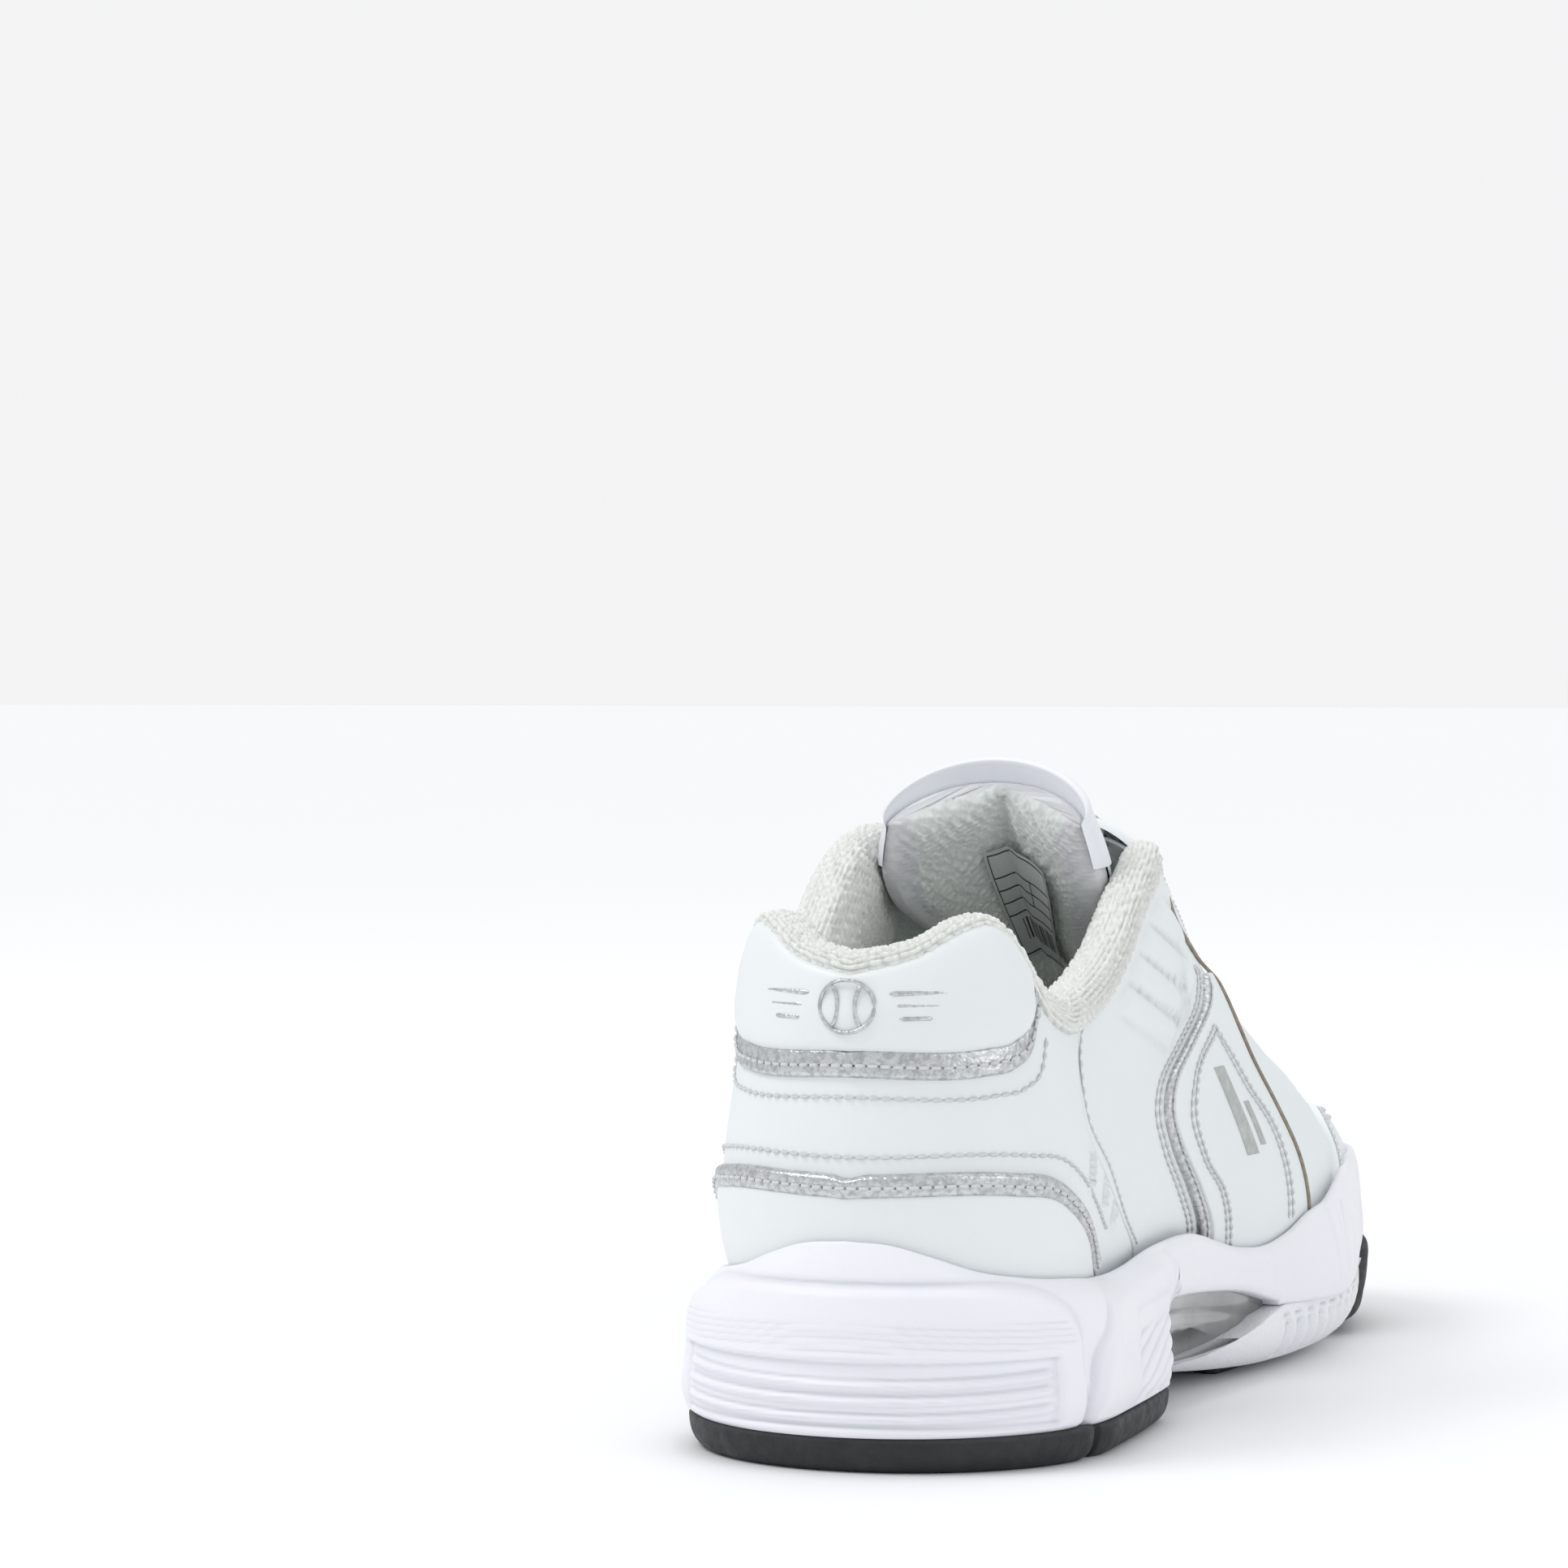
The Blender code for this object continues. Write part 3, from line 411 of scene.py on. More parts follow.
def panel(name, start, end, level, size, edge, made_of, relief=None, spacing=0.8, open_top=False):
    """A leather piece on the upper with rounded edges.

    start and end give its ends at shares of its height, level the level at (position, share), size
    its typical (length, height), edge (rim depth, face depth, radius). relief adds to the depth.
    """
    offset, share = rimmed(spacing, size[0])
    tall = size[1]
    v = (rimmed_places(spacing, tall) / tall)[:, None]
    wide = end(v) - start(v)
    along = offset[None, :] + share[None, :] * (wide - 2 * RIM[-1])
    s = start(v) + along
    v = np.broadcast_to(v, s.shape)
    lv = level(s, v)
    from_top = np.full(s.shape, 99.0) if open_top else (1 - v) * tall
    distance = np.minimum(np.minimum(along, wide - along), np.minimum(v * tall, from_top))
    depth = rounded(distance, *edge)
    z = profile(s, lv)[1]
    if relief is not None:
        depth = depth + relief(s, z) * step(0.0, 2.0, distance)
    return grid(name, on_upper(s, lv, depth), made_of, uv=(s, z))


def heights(low, high):
    """Level function between two heights, each a function of position round the foot."""
    def level(s, share):
        a = unfold(s)[1]
        return np.maximum(level_at(s, low(a) + (high(a) - low(a)) * share), 0.02)
    return level


def across_heel(reach):
    """Ends of a piece that runs round the back, this far to each side."""
    return constant(-reach), constant(reach)


def constant(value):
    """A function of the share that is the same everywhere."""
    return lambda share: np.asarray(share) * 0.0 + value


def mirrored(side, start, end):
    """Ends of a piece on one side, in signed positions."""
    if side > 0:
        return start, end
    return (lambda v: -end(v)), (lambda v: -start(v))


SIDES = (("lateral", 1), ("medial", -1))


# ---------------------------------------------------------------- materials

class Paint:
    """A node material made step by step around one Principled shader."""

    def __init__(self, name, colour, roughness, **shader_inputs):
        self.made = bpy.data.materials.new(name)
        self.made.use_nodes = True
        self.tree = self.made.node_tree
        self.shader = self.tree.nodes["Principled BSDF"]
        self.colour = self.rgb(colour)
        self.set(self.shader, "Roughness", roughness)
        for key, value in shader_inputs.items():
            self.set(self.shader, key.replace("_", " "), value)
        self.normal = None
        self.place = self.add("TexCoord").outputs["Object"]

    def rgb(self, colour):
        source = self.add("RGB")
        source.outputs[0].default_value = (*colour, 1.0)
        return source.outputs[0]

    def set(self, node, key, value):
        if isinstance(value, bpy.types.NodeSocket):
            self.tree.links.new(value, node.inputs[key])
        elif isinstance(value, tuple) and len(value) == 3 and "Color" in str(key):
            node.inputs[key].default_value = (*value, 1.0)
        else:
            node.inputs[key].default_value = value

    def add(self, kind, **inputs):
        node = self.tree.nodes.new("ShaderNode" + kind)
        for key, value in inputs.items():
            if hasattr(node, key):
                setattr(node, key, value)
            else:
                self.set(node, int(key[1:]) if key[0] == "i" and key[1:].isdigit() else key, value)
        return node

    def math(self, operation, a, b=0.0):
        return self.add("Math", operation=operation, i0=a, i1=b).outputs[0]

    def noise(self, size, detail=3.0, roughness=0.55):
        """Noise with features about `size` mm across."""
        return self.add("TexNoise", Scale=1.0 / (size * MM), Detail=detail, Roughness=roughness,
                        Vector=self.place).outputs["Fac"]

    def cells(self, size, feature="F1"):
        return self.add("TexVoronoi", feature=feature, Scale=1.0 / (size * MM),
                        Vector=self.place).outputs["Distance"]

    def pattern(self, turns_u, turns_v, turn=0.0):
        """The drawn uv in millimetres, scaled to a repeat and turned."""
        uv = self.add("UVMap", uv_map="pattern").outputs[0]
        return self.add("Mapping", Vector=uv, Scale=(turns_u, turns_v, 1.0),
                        Rotation=(0.0, 0.0, turn)).outputs[0]

    def ramp(self, value, low, high, start=0.0, end=1.0):
        """The value's range low..high mapped to start..end."""
        made = self.add("MapRange", Value=value)
        for key, number in (("From Min", low), ("From Max", high), ("To Min", start),
                            ("To Max", end)):
            made.inputs[key].default_value = number
        return made.outputs["Result"]

    def tint(self, factor, colour):
        """Mixes another colour in where the factor is high."""
        mix = self.add("MixRGB", Fac=factor, Color1=self.colour, Color2=self.rgb(colour))
        self.colour = mix.outputs[0]

    def tone(self):
        """The relief stored on the mesh, 0 in its hollows, where the knits paint shade."""
        return self.add("Attribute", attribute_name="tone").outputs["Fac"]

    def relief(self, height, depth, strength=1.0):
        """Bump, `depth` mm deep, on top of any bump before it."""
        bump_node = self.add("Bump", Height=height, Distance=depth * MM, Strength=strength)
        if self.normal is not None:
            self.set(bump_node, "Normal", self.normal)
        self.normal = bump_node.outputs[0]

    def done(self):
        self.set(self.shader, "Base Color", self.colour)
        if self.normal is not None:
            self.set(self.shader, "Normal", self.normal)
        return self.made


def painted_seam_shade(paint, colour, amount):
    """Paints shade into the hollows: the more concave a place, the more of the darker colour it
    takes.
    """
    hollow = paint.add("NewGeometry").outputs["Pointiness"]
    # painted shade: concave places (pointiness under 0.5) fade towards the darker colour
    paint.tint(paint.ramp(hollow, 0.5, 0.44, 0.0, amount), colour)


def leather(name, colour):
    """Smooth grained leather."""
    paint = Paint(name, colour, 0.42, Specular_IOR_Level=0.45)
    paint.tint(paint.ramp(paint.noise(26.0, 3.0), 0.35, 0.7, 0.0, 0.3), (0.78, 0.81, 0.81))
    # painted shade in the leather's concave seams
    painted_seam_shade(paint, (0.55, 0.56, 0.54), 0.4)
    paint.set(paint.shader, "Roughness", paint.ramp(paint.noise(7.0), 0.3, 0.7, 0.36, 0.50))
    paint.relief(paint.noise(3.2, 2.0), 0.05)
    paint.relief(paint.cells(0.75, "DISTANCE_TO_EDGE"), 0.05, 0.45)
    paint.relief(paint.noise(0.35, 4.0), 0.035, 0.5)
    return paint.done()


def silver():
    """Crinkled metallic film of the trims."""
    paint = Paint("crinkled_silver", (0.66, 0.67, 0.68), 0.3, Metallic=0.88)
    paint.tint(paint.ramp(paint.noise(1.1, 4.0), 0.42, 0.62), (0.46, 0.47, 0.48))
    paint.set(paint.shader, "Roughness", paint.ramp(paint.noise(2.2), 0.3, 0.7, 0.22, 0.42))
    paint.relief(paint.noise(2.4, 4.0, roughness=0.7), 0.35, 0.7)
    paint.relief(paint.cells(0.7), 0.10, 0.6)
    return paint.done()


def knit(name, colour, shade, pitch):
    """Looped knit: its loops are in the mesh, its yarn twist in the bump; painted shade darkens the
    hollows between the loops.
    """
    paint = Paint(name, shade, 0.86, Sheen_Weight=0.35, Sheen_Roughness=0.5,
                  Specular_IOR_Level=0.25)
    # painted shade: the hollows between the loops keep the darker shade colour, the loop tops take
    # the colour
    paint.tint(paint.ramp(paint.tone(), 0.05, 0.62), colour)
    strands = paint.add("TexWave", Scale=1.0, Distortion=3.0, Detail=2.0,
                        Vector=paint.pattern(3.2 / pitch, 2.1 / pitch, 0.7)).outputs["Fac"]
    paint.tint(paint.math("MULTIPLY", paint.ramp(strands, 0.6, 0.0), 0.22), shade)
    paint.relief(strands, 0.14, 0.6)
    paint.relief(paint.noise(0.3, 3.0), 0.06, 0.5)
    return paint.done()


def foam(name, colour, grain):
    """Moulded midsole foam."""
    paint = Paint(name, colour, 0.5, Subsurface_Weight=0.12, Subsurface_Scale=1.5 * MM,
                  Specular_IOR_Level=0.35)
    paint.tint(paint.ramp(paint.noise(30.0), 0.35, 0.7, 0.0, 0.35), (0.82, 0.82, 0.86))
    # painted shade in the foam's concave grooves
    painted_seam_shade(paint, (0.55, 0.55, 0.60), 0.55)
    paint.set(paint.shader, "Roughness", paint.ramp(paint.noise(5.0), 0.3, 0.7, 0.42, 0.58))
    paint.relief(paint.noise(grain, 4.0), 0.06, 0.6)
    return paint.done()


def frosted_rubber():
    """White rubber with a frosted face."""
    paint = Paint("frosted_white_rubber", (0.85, 0.86, 0.89), 0.36, Subsurface_Weight=0.1,
                  Subsurface_Scale=1.5 * MM)
    # painted shade in the rubber's concave hollows
    painted_seam_shade(paint, (0.50, 0.51, 0.55), 0.7)
    paint.relief(paint.cells(0.8), 0.16, 0.7)
    paint.relief(paint.noise(0.5, 4.0), 0.12, 0.7)
    return paint.done()


def black_rubber():
    """Black tread rubber, paler where it is worn."""
    paint = Paint("black_rubber", (0.018, 0.020, 0.022), 0.55, Specular_IOR_Level=0.4)
    paint.tint(paint.ramp(paint.noise(9.0, 4.0), 0.5, 0.75, 0.0, 0.6), (0.045, 0.046, 0.048))
    hollow = paint.add("NewGeometry").outputs["Pointiness"]
    paint.tint(paint.ramp(hollow, 0.52, 0.60, 0.0, 0.5), (0.09, 0.09, 0.09))
    paint.set(paint.shader, "Roughness", paint.ramp(paint.noise(3.0), 0.3, 0.7, 0.45, 0.68))
    paint.relief(paint.cells(0.9), 0.12, 0.55)
    paint.relief(paint.noise(0.5, 4.0), 0.09, 0.6)
    return paint.done()


def clear_shank():
    """Smoky glossy plastic of the bridge."""
    paint = Paint("smoky_shank", (0.21, 0.21, 0.205), 0.05, Coat_Weight=1.0,
                  Coat_Roughness=0.03, Subsurface_Weight=0.2, Subsurface_Scale=2.0 * MM)
    paint.tint(paint.ramp(paint.noise(14.0, 2.0), 0.4, 0.65), (0.14, 0.14, 0.135))
    paint.relief(paint.noise(12.0, 1.0), 0.5, 0.5)
    return paint.done()


def fabric(name, colour, shade, pitch):
    """Close woven cloth for surfaces seen from afar."""
    paint = Paint(name, colour, 0.9, Sheen_Weight=0.3)
    threads = paint.add("TexWave", Scale=1.0, Distortion=0.6,
                        Vector=paint.pattern(0.5 / pitch, 0.0)).outputs["Fac"]
    across = paint.add("TexWave", Scale=1.0, Distortion=0.6,
                       Vector=paint.pattern(0.0, 0.5 / pitch, math.pi / 2)).outputs["Fac"]
    weave = paint.math("MULTIPLY", threads, across)
    paint.tint(paint.ramp(weave, 0.5, 0.0, 0.0, 0.6), shade)
    paint.tint(paint.ramp(paint.noise(18.0), 0.4, 0.7, 0.0, 0.4), shade)
    paint.relief(weave, 0.2, 0.8)
    paint.relief(paint.noise(0.4, 4.0), 0.08, 0.6)
    return paint.done()


def yarn(name, colour, shade, pitch):
    """Twisted or braided yarn; u runs along it."""
    paint = Paint(name, colour, 0.7, Sheen_Weight=0.3)
    twist = paint.add("TexWave", Scale=1.0, Distortion=0.4,
                      Vector=paint.pattern(1.0 / pitch, 0.7 / pitch, 0.6)).outputs["Fac"]
    paint.tint(paint.ramp(twist, 0.4, 0.0, 0.0, 0.55), shade)
    paint.relief(twist, 0.14, 0.8)
    paint.relief(paint.noise(0.25, 3.0), 0.05, 0.6)
    return paint.done()


def board(name, colour, shade):
    """Matte mottled stuff: pressed fibre and foam hidden inside the shoe, print and cut edges, and
    the painted shade inside holes.
    """
    paint = Paint(name, colour, 0.85)
    paint.tint(paint.ramp(paint.noise(2.0, 5.0), 0.4, 0.65, 0.0, 0.7), shade)
    paint.relief(paint.noise(0.7, 4.0), 0.15, 0.7)
    return paint.done()


LEATHER = leather("white_leather", (0.81, 0.845, 0.845))
SILVER = silver()
# the second colour of each knit is the painted shade of its hollows, and also the colour of its
# strand pattern
KNIT = knit("collar_knit", (0.97, 0.98, 0.94), (0.82, 0.85, 0.79), 1.5)
TERRY = knit("terry_lining", (0.96, 0.99, 0.965), (0.80, 0.87, 0.83), 1.6)
MESH_RIM = knit("tongue_mesh", (0.95, 0.96, 0.98), (0.84, 0.85, 0.88), 1.2)
TAB = leather("smooth_tab", (0.84, 0.855, 0.91))
FOAM = foam("midsole_foam", (0.88, 0.88, 0.925), 0.5)
FROSTED = frosted_rubber()
RUBBER = black_rubber()
SHANK = clear_shank()
LINING = fabric("lining_cloth", (0.86, 0.91, 0.88), (0.68, 0.75, 0.71), 0.9)
SOCK = fabric("sock_cloth", (0.74, 0.79, 0.77), (0.56, 0.62, 0.60), 0.8)
THREAD = yarn("white_thread", (0.90, 0.91, 0.92), (0.62, 0.63, 0.64), 0.55)
LACING = yarn("lace_braid", (0.88, 0.88, 0.94), (0.62, 0.62, 0.70), 1.1)
# dark and pale discs painted with the shade inside needle holes and vents
HOLE_SHADE = board("needle_hole_shade", (0.10, 0.10, 0.10), (0.05, 0.05, 0.05))
SOFT_HOLE_SHADE = board("shallow_hole_shade", (0.52, 0.54, 0.54), (0.42, 0.44, 0.44))
CUT_EDGE = board("cut_edge", (0.34, 0.29, 0.23), (0.20, 0.17, 0.14))
LABEL = fabric("label_satin", (0.70, 0.74, 0.73), (0.60, 0.64, 0.63), 0.35)
INK = board("label_ink", (0.03, 0.03, 0.035), (0.05, 0.05, 0.05))
MARK = board("printed_mark", (0.44, 0.46, 0.44), (0.56, 0.58, 0.56))
STIFFENER = board("stiffener_board", (0.70, 0.66, 0.55), (0.55, 0.50, 0.40))
PAPER = board("insole_board", (0.62, 0.60, 0.55), (0.50, 0.47, 0.42))


# ---------------------------------------------------------------- the sole

sole_outer = curve((0, 40.2), (27, 40.4), (55, 40.2), (80, 39.8), (101, 38.6), (125, 39),
                   (150, 41.5), (175, 44.5), (200, 45.6), (225, 44.2), (245, 42), (273, 41.5),
                   (302, 42.5))
sole_inner = curve((0, 40.2), (27, 40.4), (55, 39.6), (80, 38), (101, 36), (125, 34), (150, 36.5),
                   (175, 42), (200, 47), (225, 48.5), (245, 46.6), (273, 44.5), (302, 42.5))
wall_top = curve((0, 40.3), (8, 39.6), (14, 37.8), (23, 34.8), (33, 33.1), (47, 31.8), (65, 30.2),
                 (83, 30.4), (101, 32.5), (117, 32.8), (132, 30), (146, 27.2), (160, 27),
                 (166, 28.6), (173, 31.5), (183, 33.4), (192, 36), (203, 37.6), (218, 38),
                 (245, 37.2), (273, 37.6), (302, 38.6))
toe_spring = curve((205, 0), (225, 1.2), (245, 3.4), (273, 6.2), (302, 8.0))
shell_top = curve((100, 14.6), (161, 14.6), (205, 13.4), (245, 14.2), (273, 15.4), (302, 16.6))
arch_underside = curve((100, 22.6), (125, 21.0), (145, 18.6), (161, 15.0))
TREAD = 6.4
POD_FRONT = around(46.0)
SHANK_FRONT = around(104.0)
OVERLAY_ROOM = 2.0
HEEL_SPLIT = 47.0
FOAM_GRAIN = 0.7


def sole_radius(s):
    """Half-width of the sole."""
    outer, a = unfold(s)
    return np.where(outer, sole_outer(a), sole_inner(a))


def foam_underside(a):
    """Height of the midsole's lower edge: the heel block, the open arch, the forefoot rubber."""
    arch = np.where(a < SHANK_FRONT, arch_underside(a), shell_top(a))
    return TREAD + (arch - TREAD) * step(POD_FRONT - 0.6, POD_FRONT + 1.2, a)


HEEL_BLOCK = (43.0, 26.1)    # reach to each side, and height over the tread, of the heel block
RIDGES = (9.6, 12.8, 15.6)   # heights of the ridges in the block's inset
pod_top = curve((40, -4), (43.5, 6.4), (47.8, 15.5), (52.4, 21.3), (55.5, 25.1), (66, 29.4),
                (90, 30.8), (110, 31))


def heel_block_relief(a, z):
    """The back of the heel: a proud block with contour lines and a ridged inset."""
    reach, tall = HEEL_BLOCK
    rim = ((a / reach) ** 5 + (np.maximum(z - TREAD, 0.0) / tall) ** 5) ** 0.2
    block = 1.9 * step(1.01, 0.955, rim) - 0.5 * bump(rim - 1.03, 0.02)
    contours = np.cos((z + 0.05 * a - 20.6) * 2 * math.pi / 1.15)
    contours = -0.13 * (1 + contours) * band(z, (21.0, 21.6), (25.5, 27.0))
    inset = band(z, (7.4, 8.2), (19.4, 20.2)) * (1 - step(35.0, 36.6, a))
    ridges = -1.2
    for height in RIDGES:
        over = z - height - 0.0009 * a * a
        ridges = ridges + (0.95 * bump(over, 0.55) - 0.25 * bump(over - 1.0, 0.35)) \
            * (1 - step(33.5, 34.5, a))
    return block + (contours + inset * ridges) * (1 - step(0.93, 0.97, rim))


def pod_relief(a, z):
    """The side pod: a proud border round a recess with swept lines, and the valley behind it."""
    inside = 0.6 * (pod_top(a) - z)
    body = 1.7 * step(-0.6, 1.4, inside) - 0.4 * bump(inside + 1.0, 0.8) * step(44.0, 48.0, a)
    recess = step(2.6, 4.2, inside) * step(60.0, 64.0, a - 0.25 * z) * step(7.2, 8.0, z)
    lined = recess * step(64.0, 66.0, a - 0.25 * z) * (1 - step(19.5, 21.0, z))
    lines = 0.42 * np.cos((z - 0.30 * (a - 66.0)) * 2 * math.pi / 3.3)
    valley = -1.5 * bump(a - 47.0, 6.0) * (1 - step(18.0, 30.0, z))
    return body - 0.8 * recess + lined * lines + valley * (1 - step(0.0, 2.0, inside))


POD_TURN = 8.5               # length over which the pod's front end rounds
POD_TUCK = 5.5               # how far in its front end comes


def pod_rounding(a):
    """How far the front end of the side pod turns inward."""
    end = np.clip((a - POD_FRONT + POD_TURN) / POD_TURN, 0.0, 1.0)
    return POD_TUCK * (1 - np.sqrt(1 - end**2)) * (a < POD_FRONT + 1.3)


WING_GROOVES = (193.0, 203.0, 214.0, 226.0, 239.0)


def forefoot_relief(a, z):
    """The toe wing of the foam, with its upright grooves."""
    wing = step(158.0, 172.0, a)
    edge = 0.9 * bump(a - 186.0 + 0.35 * (z - 20.0), 1.6) * step(14.0, 18.0, z)
    grooves = 0.0
    for place in WING_GROOVES:
        grooves = grooves - 0.9 * bump(a - place + 0.22 * (z - 20.0), 1.3)
    grooves = grooves * band(z, (16.0, 19.0), (31.0, 34.5))
    return wing * 0.5 * bump(z - 22.0, 5.0) + edge * 0.6 + grooves


def foam_relief(s, z):
    """How far the foam's wall stands out of its plain outline."""
    a = unfold(s)[1]
    rear = 1 - step(POD_FRONT - 13.0, POD_FRONT + 8.0, a)
    turned = pod_rounding(a) * (1 - step(19.0, 25.0, z))
    return rear * (heel_block_relief(a, z) + pod_relief(a, z) - 0.9) - turned \
        + (1 - rear) * forefoot_relief(a, z)


wall_bow = curve((0.0, -1.1), (0.03, -0.4), (0.08, 0.0), (0.45, 0.0), (0.72, -0.35), (0.9, -1.5),
                 (1.0, -3.0))


def build_midsole():
    """The foam: its sculpted wall, the lip against the leather and the floor it leaves."""
    s = np.linspace(-TOE_END, TOE_END, round(2 * TOE_END / FOAM_GRAIN), endpoint=False)[None, :]
    a = unfold(s)[1]
    q = np.linspace(0.0, 1.0, 72)[:, None]
    bottom, top = foam_underside(a), wall_top(a)
    z = bottom + (top - bottom) * q
    lip = profile(s, level_at(s, top))[0] + OVERLAY_ROOM
    wide = np.maximum(sole_radius(s), lip + 2.8)
    room = (wide - lip - 1.6) / 3.0
    r = wide + wall_bow(q) * np.maximum(room, 0.5) + foam_relief(s, z)
    wall = at_radius(s, np.maximum(r, lip + 1.2 * (1 - q)), z)
    inward = []
    for drop, share in ((-0.15, 0.35), (0.0, 0.7), (0.7, 1.0), (4.0, 1.12)):
        edge_r = np.maximum(r[-1:], lip) * (1 - share) + (lip - 0.6 * share) * share
        inward.append(at_radius(s, edge_r, top - drop))
    under = [at_radius(s, wide * keep, bottom) for keep in (0.93, 0.6, 0.0)]
    rows = under[::-1] + [wall] + inward
    points = np.concatenate(rows, axis=0)
    piece = grid("midsole", points, FOAM, uv=(s, np.arange(len(points))[:, None]),
                 round_columns=True)
    close_ends(piece)
    attach(piece, FLEX, ("midsole_heel", "midsole_forefoot"))


def sole_slab(name, start, end, section, made_of, grain=1.5):
    """A sole layer between two positions round the foot; section(s) gives radii and heights."""
    if start < 0:                                     # carries on round the heel
        s = np.arange(start, end + grain / 2, grain)[None, :]
        r, z = section(s)
        piece = grid(name, at_radius(s, r, z), made_of, uv=(s, z + r))
        close_ends(piece)
        return piece
    outer = np.linspace(start, end, max(3, round((end - start) / grain)))[None, :]
    r, z = section(outer)
    half = at_radius(outer, r, z)
    r, z = section(-outer)
    other = at_radius(-outer, r, z)
    points = np.concatenate([half, other[::-1]], axis=0)
    s = np.concatenate([outer + 0 * z, outer + 0 * z])
    piece = grid(name, points, made_of, uv=(s, np.arange(len(points))[:, None] * 1.0),
                 round_rows=True)
    close_ends(piece)
    return piece


def close_ends(piece):
    """Welds points that meet, and fills the open ends."""
    mesh = bmesh.new()
    mesh.from_mesh(piece.data)
    bmesh.ops.remove_doubles(mesh, verts=mesh.verts, dist=0.01 * MM)
    bmesh.ops.dissolve_degenerate(mesh, dist=0.01 * MM, edges=mesh.edges)
    bmesh.ops.holes_fill(mesh, edges=[e for e in mesh.edges if e.is_boundary], sides=0)
    bmesh.ops.recalc_face_normals(mesh, faces=mesh.faces)
    mesh.to_mesh(piece.data)
    mesh.free()


QUARTER_TURN = np.linspace(0.0, math.pi / 2, 9)[:, None]


def herringbone(x, y, pitch):
    """0 on the tread blocks, -1 in the zigzag grooves between them."""
    wave = (y / pitch + np.abs((x / (2.2 * pitch)) % 2 - 1) * 1.1) % 1.0
    return -step(0.62, 0.70, wave) * (1 - step(0.92, 1.0, wave))


def tread_underside(s, reach, z):
    """Rows of the tread's lower face with its moulded grooves, from the rim to the centre line."""
    share = np.linspace(1.0, 0.0, 34)[:, None]
    r = reach * share
    spot = at_radius(s, r, z)
    groove = 1.3 * herringbone(spot[..., 0], spot[..., 1], 7.0) * step(0.0, 2.5, reach - r)
    return r, z - groove


def build_heel_tread():
    """Black rubber under the heel, parted by a groove."""
    edge = 3.4

    def section(s):
        a = unfold(s)[1]
        wide = sole_radius(s) - 0.1 - 0.9 * bump(a - HEEL_SPLIT, 2.6) - pod_rounding(a)
        turn = QUARTER_TURN[::-1]
        r = np.concatenate([wide * 0.9 + 0 * s, wide - 0.5, wide,
                            wide - edge * (1 - np.sin(turn))])
        z = np.concatenate([TREAD + 0 * s, TREAD + 0 * s, TREAD - 0.5 + 0 * s,
                            (1 - np.cos(turn)) * (TREAD - 1.0) + 0 * s])
        under_r, under_z = tread_underside(s, wide - edge, 0.0)
        return np.concatenate([r, under_r]), np.concatenate([z, under_z])

    rear = sole_slab("heel_tread_rear", -HEEL_SPLIT + 0.9, HEEL_SPLIT - 0.9, section, RUBBER, 0.9)
    attach(rear, "rearfoot", ("outsole_heel_rear",))
    front = sole_slab("heel_tread_front", HEEL_SPLIT + 0.9, POD_FRONT - 0.5, section, RUBBER, 0.9)
    attach(front, "rearfoot", ("outsole_heel_front",))


SHELL_REAR = around(49.0)
shell_lip = curve((100, 9.4), (120, 9.4), (136, 10.2), (148, 12.0), (156, 13.8), (161, 14.6))
shell_low = curve((100, 6.8), (120, 5.4), (140, 3.4), (160, 1.9), (178, 1.4))


def shell_relief(a, z):
    """Upright ribs moulded into the side of the forefoot rubber, and the dashed line above."""
    ribs = -1.9 * (0.5 + 0.5 * np.cos((a + 0.35 * z) * 2 * math.pi / 6.4)) ** 1.5
    ribs = ribs * band(a, (158, 164), (222, 230)) * band(z, (2.8, 4.6), (10.4, 11.4))
    dashes = -0.7 * bump(z - 12.3, 0.4) * step(-0.2, 0.2, np.cos(a * 2 * math.pi / 7.0))
    return ribs + dashes * step(158, 162, a)


def build_forefoot_rubber():
    """White rubber cup of the forefoot, with its lip under the arch."""
    edge = 11.0

    def section(s):
        a = unfold(s)[1]
        top = np.where(a < 161.0, shell_lip(a), shell_top(a))
        low = shell_low(a) + toe_spring(a)
        tall = np.maximum(top - low, 0.6)
        wide = sole_radius(s) + 0.6 - 1.6 * (1 - step(SHELL_REAR, around(66.0), a))
        q = np.linspace(1.0, 0.0, 26)[:, None]
        z = low + tall * q
        bow = edge * (1 - np.sqrt(np.clip(1 - (1 - np.minimum((z - low) / 9.0, 1)) ** 2, 0, 1)))
        r = wide - bow + shell_relief(a, z)
        share = np.linspace(0.96, 0.0, 5)[:, None]
        inward = (wide - 1.2 - 3.0 * (1 - step(159, 165, a)), wide - 0.3)
        r = np.concatenate([*inward, r, (wide - edge) * share])
        z = np.concatenate([top - 0.1, top, z, low + 0 * s * share])
        return r, z

    shell = sole_slab("forefoot_rubber", SHELL_REAR, TOE_END, section, FROSTED, 0.8)
    attach(shell, FLEX, ("forefoot_shell_rear", "forefoot_shell_front"))


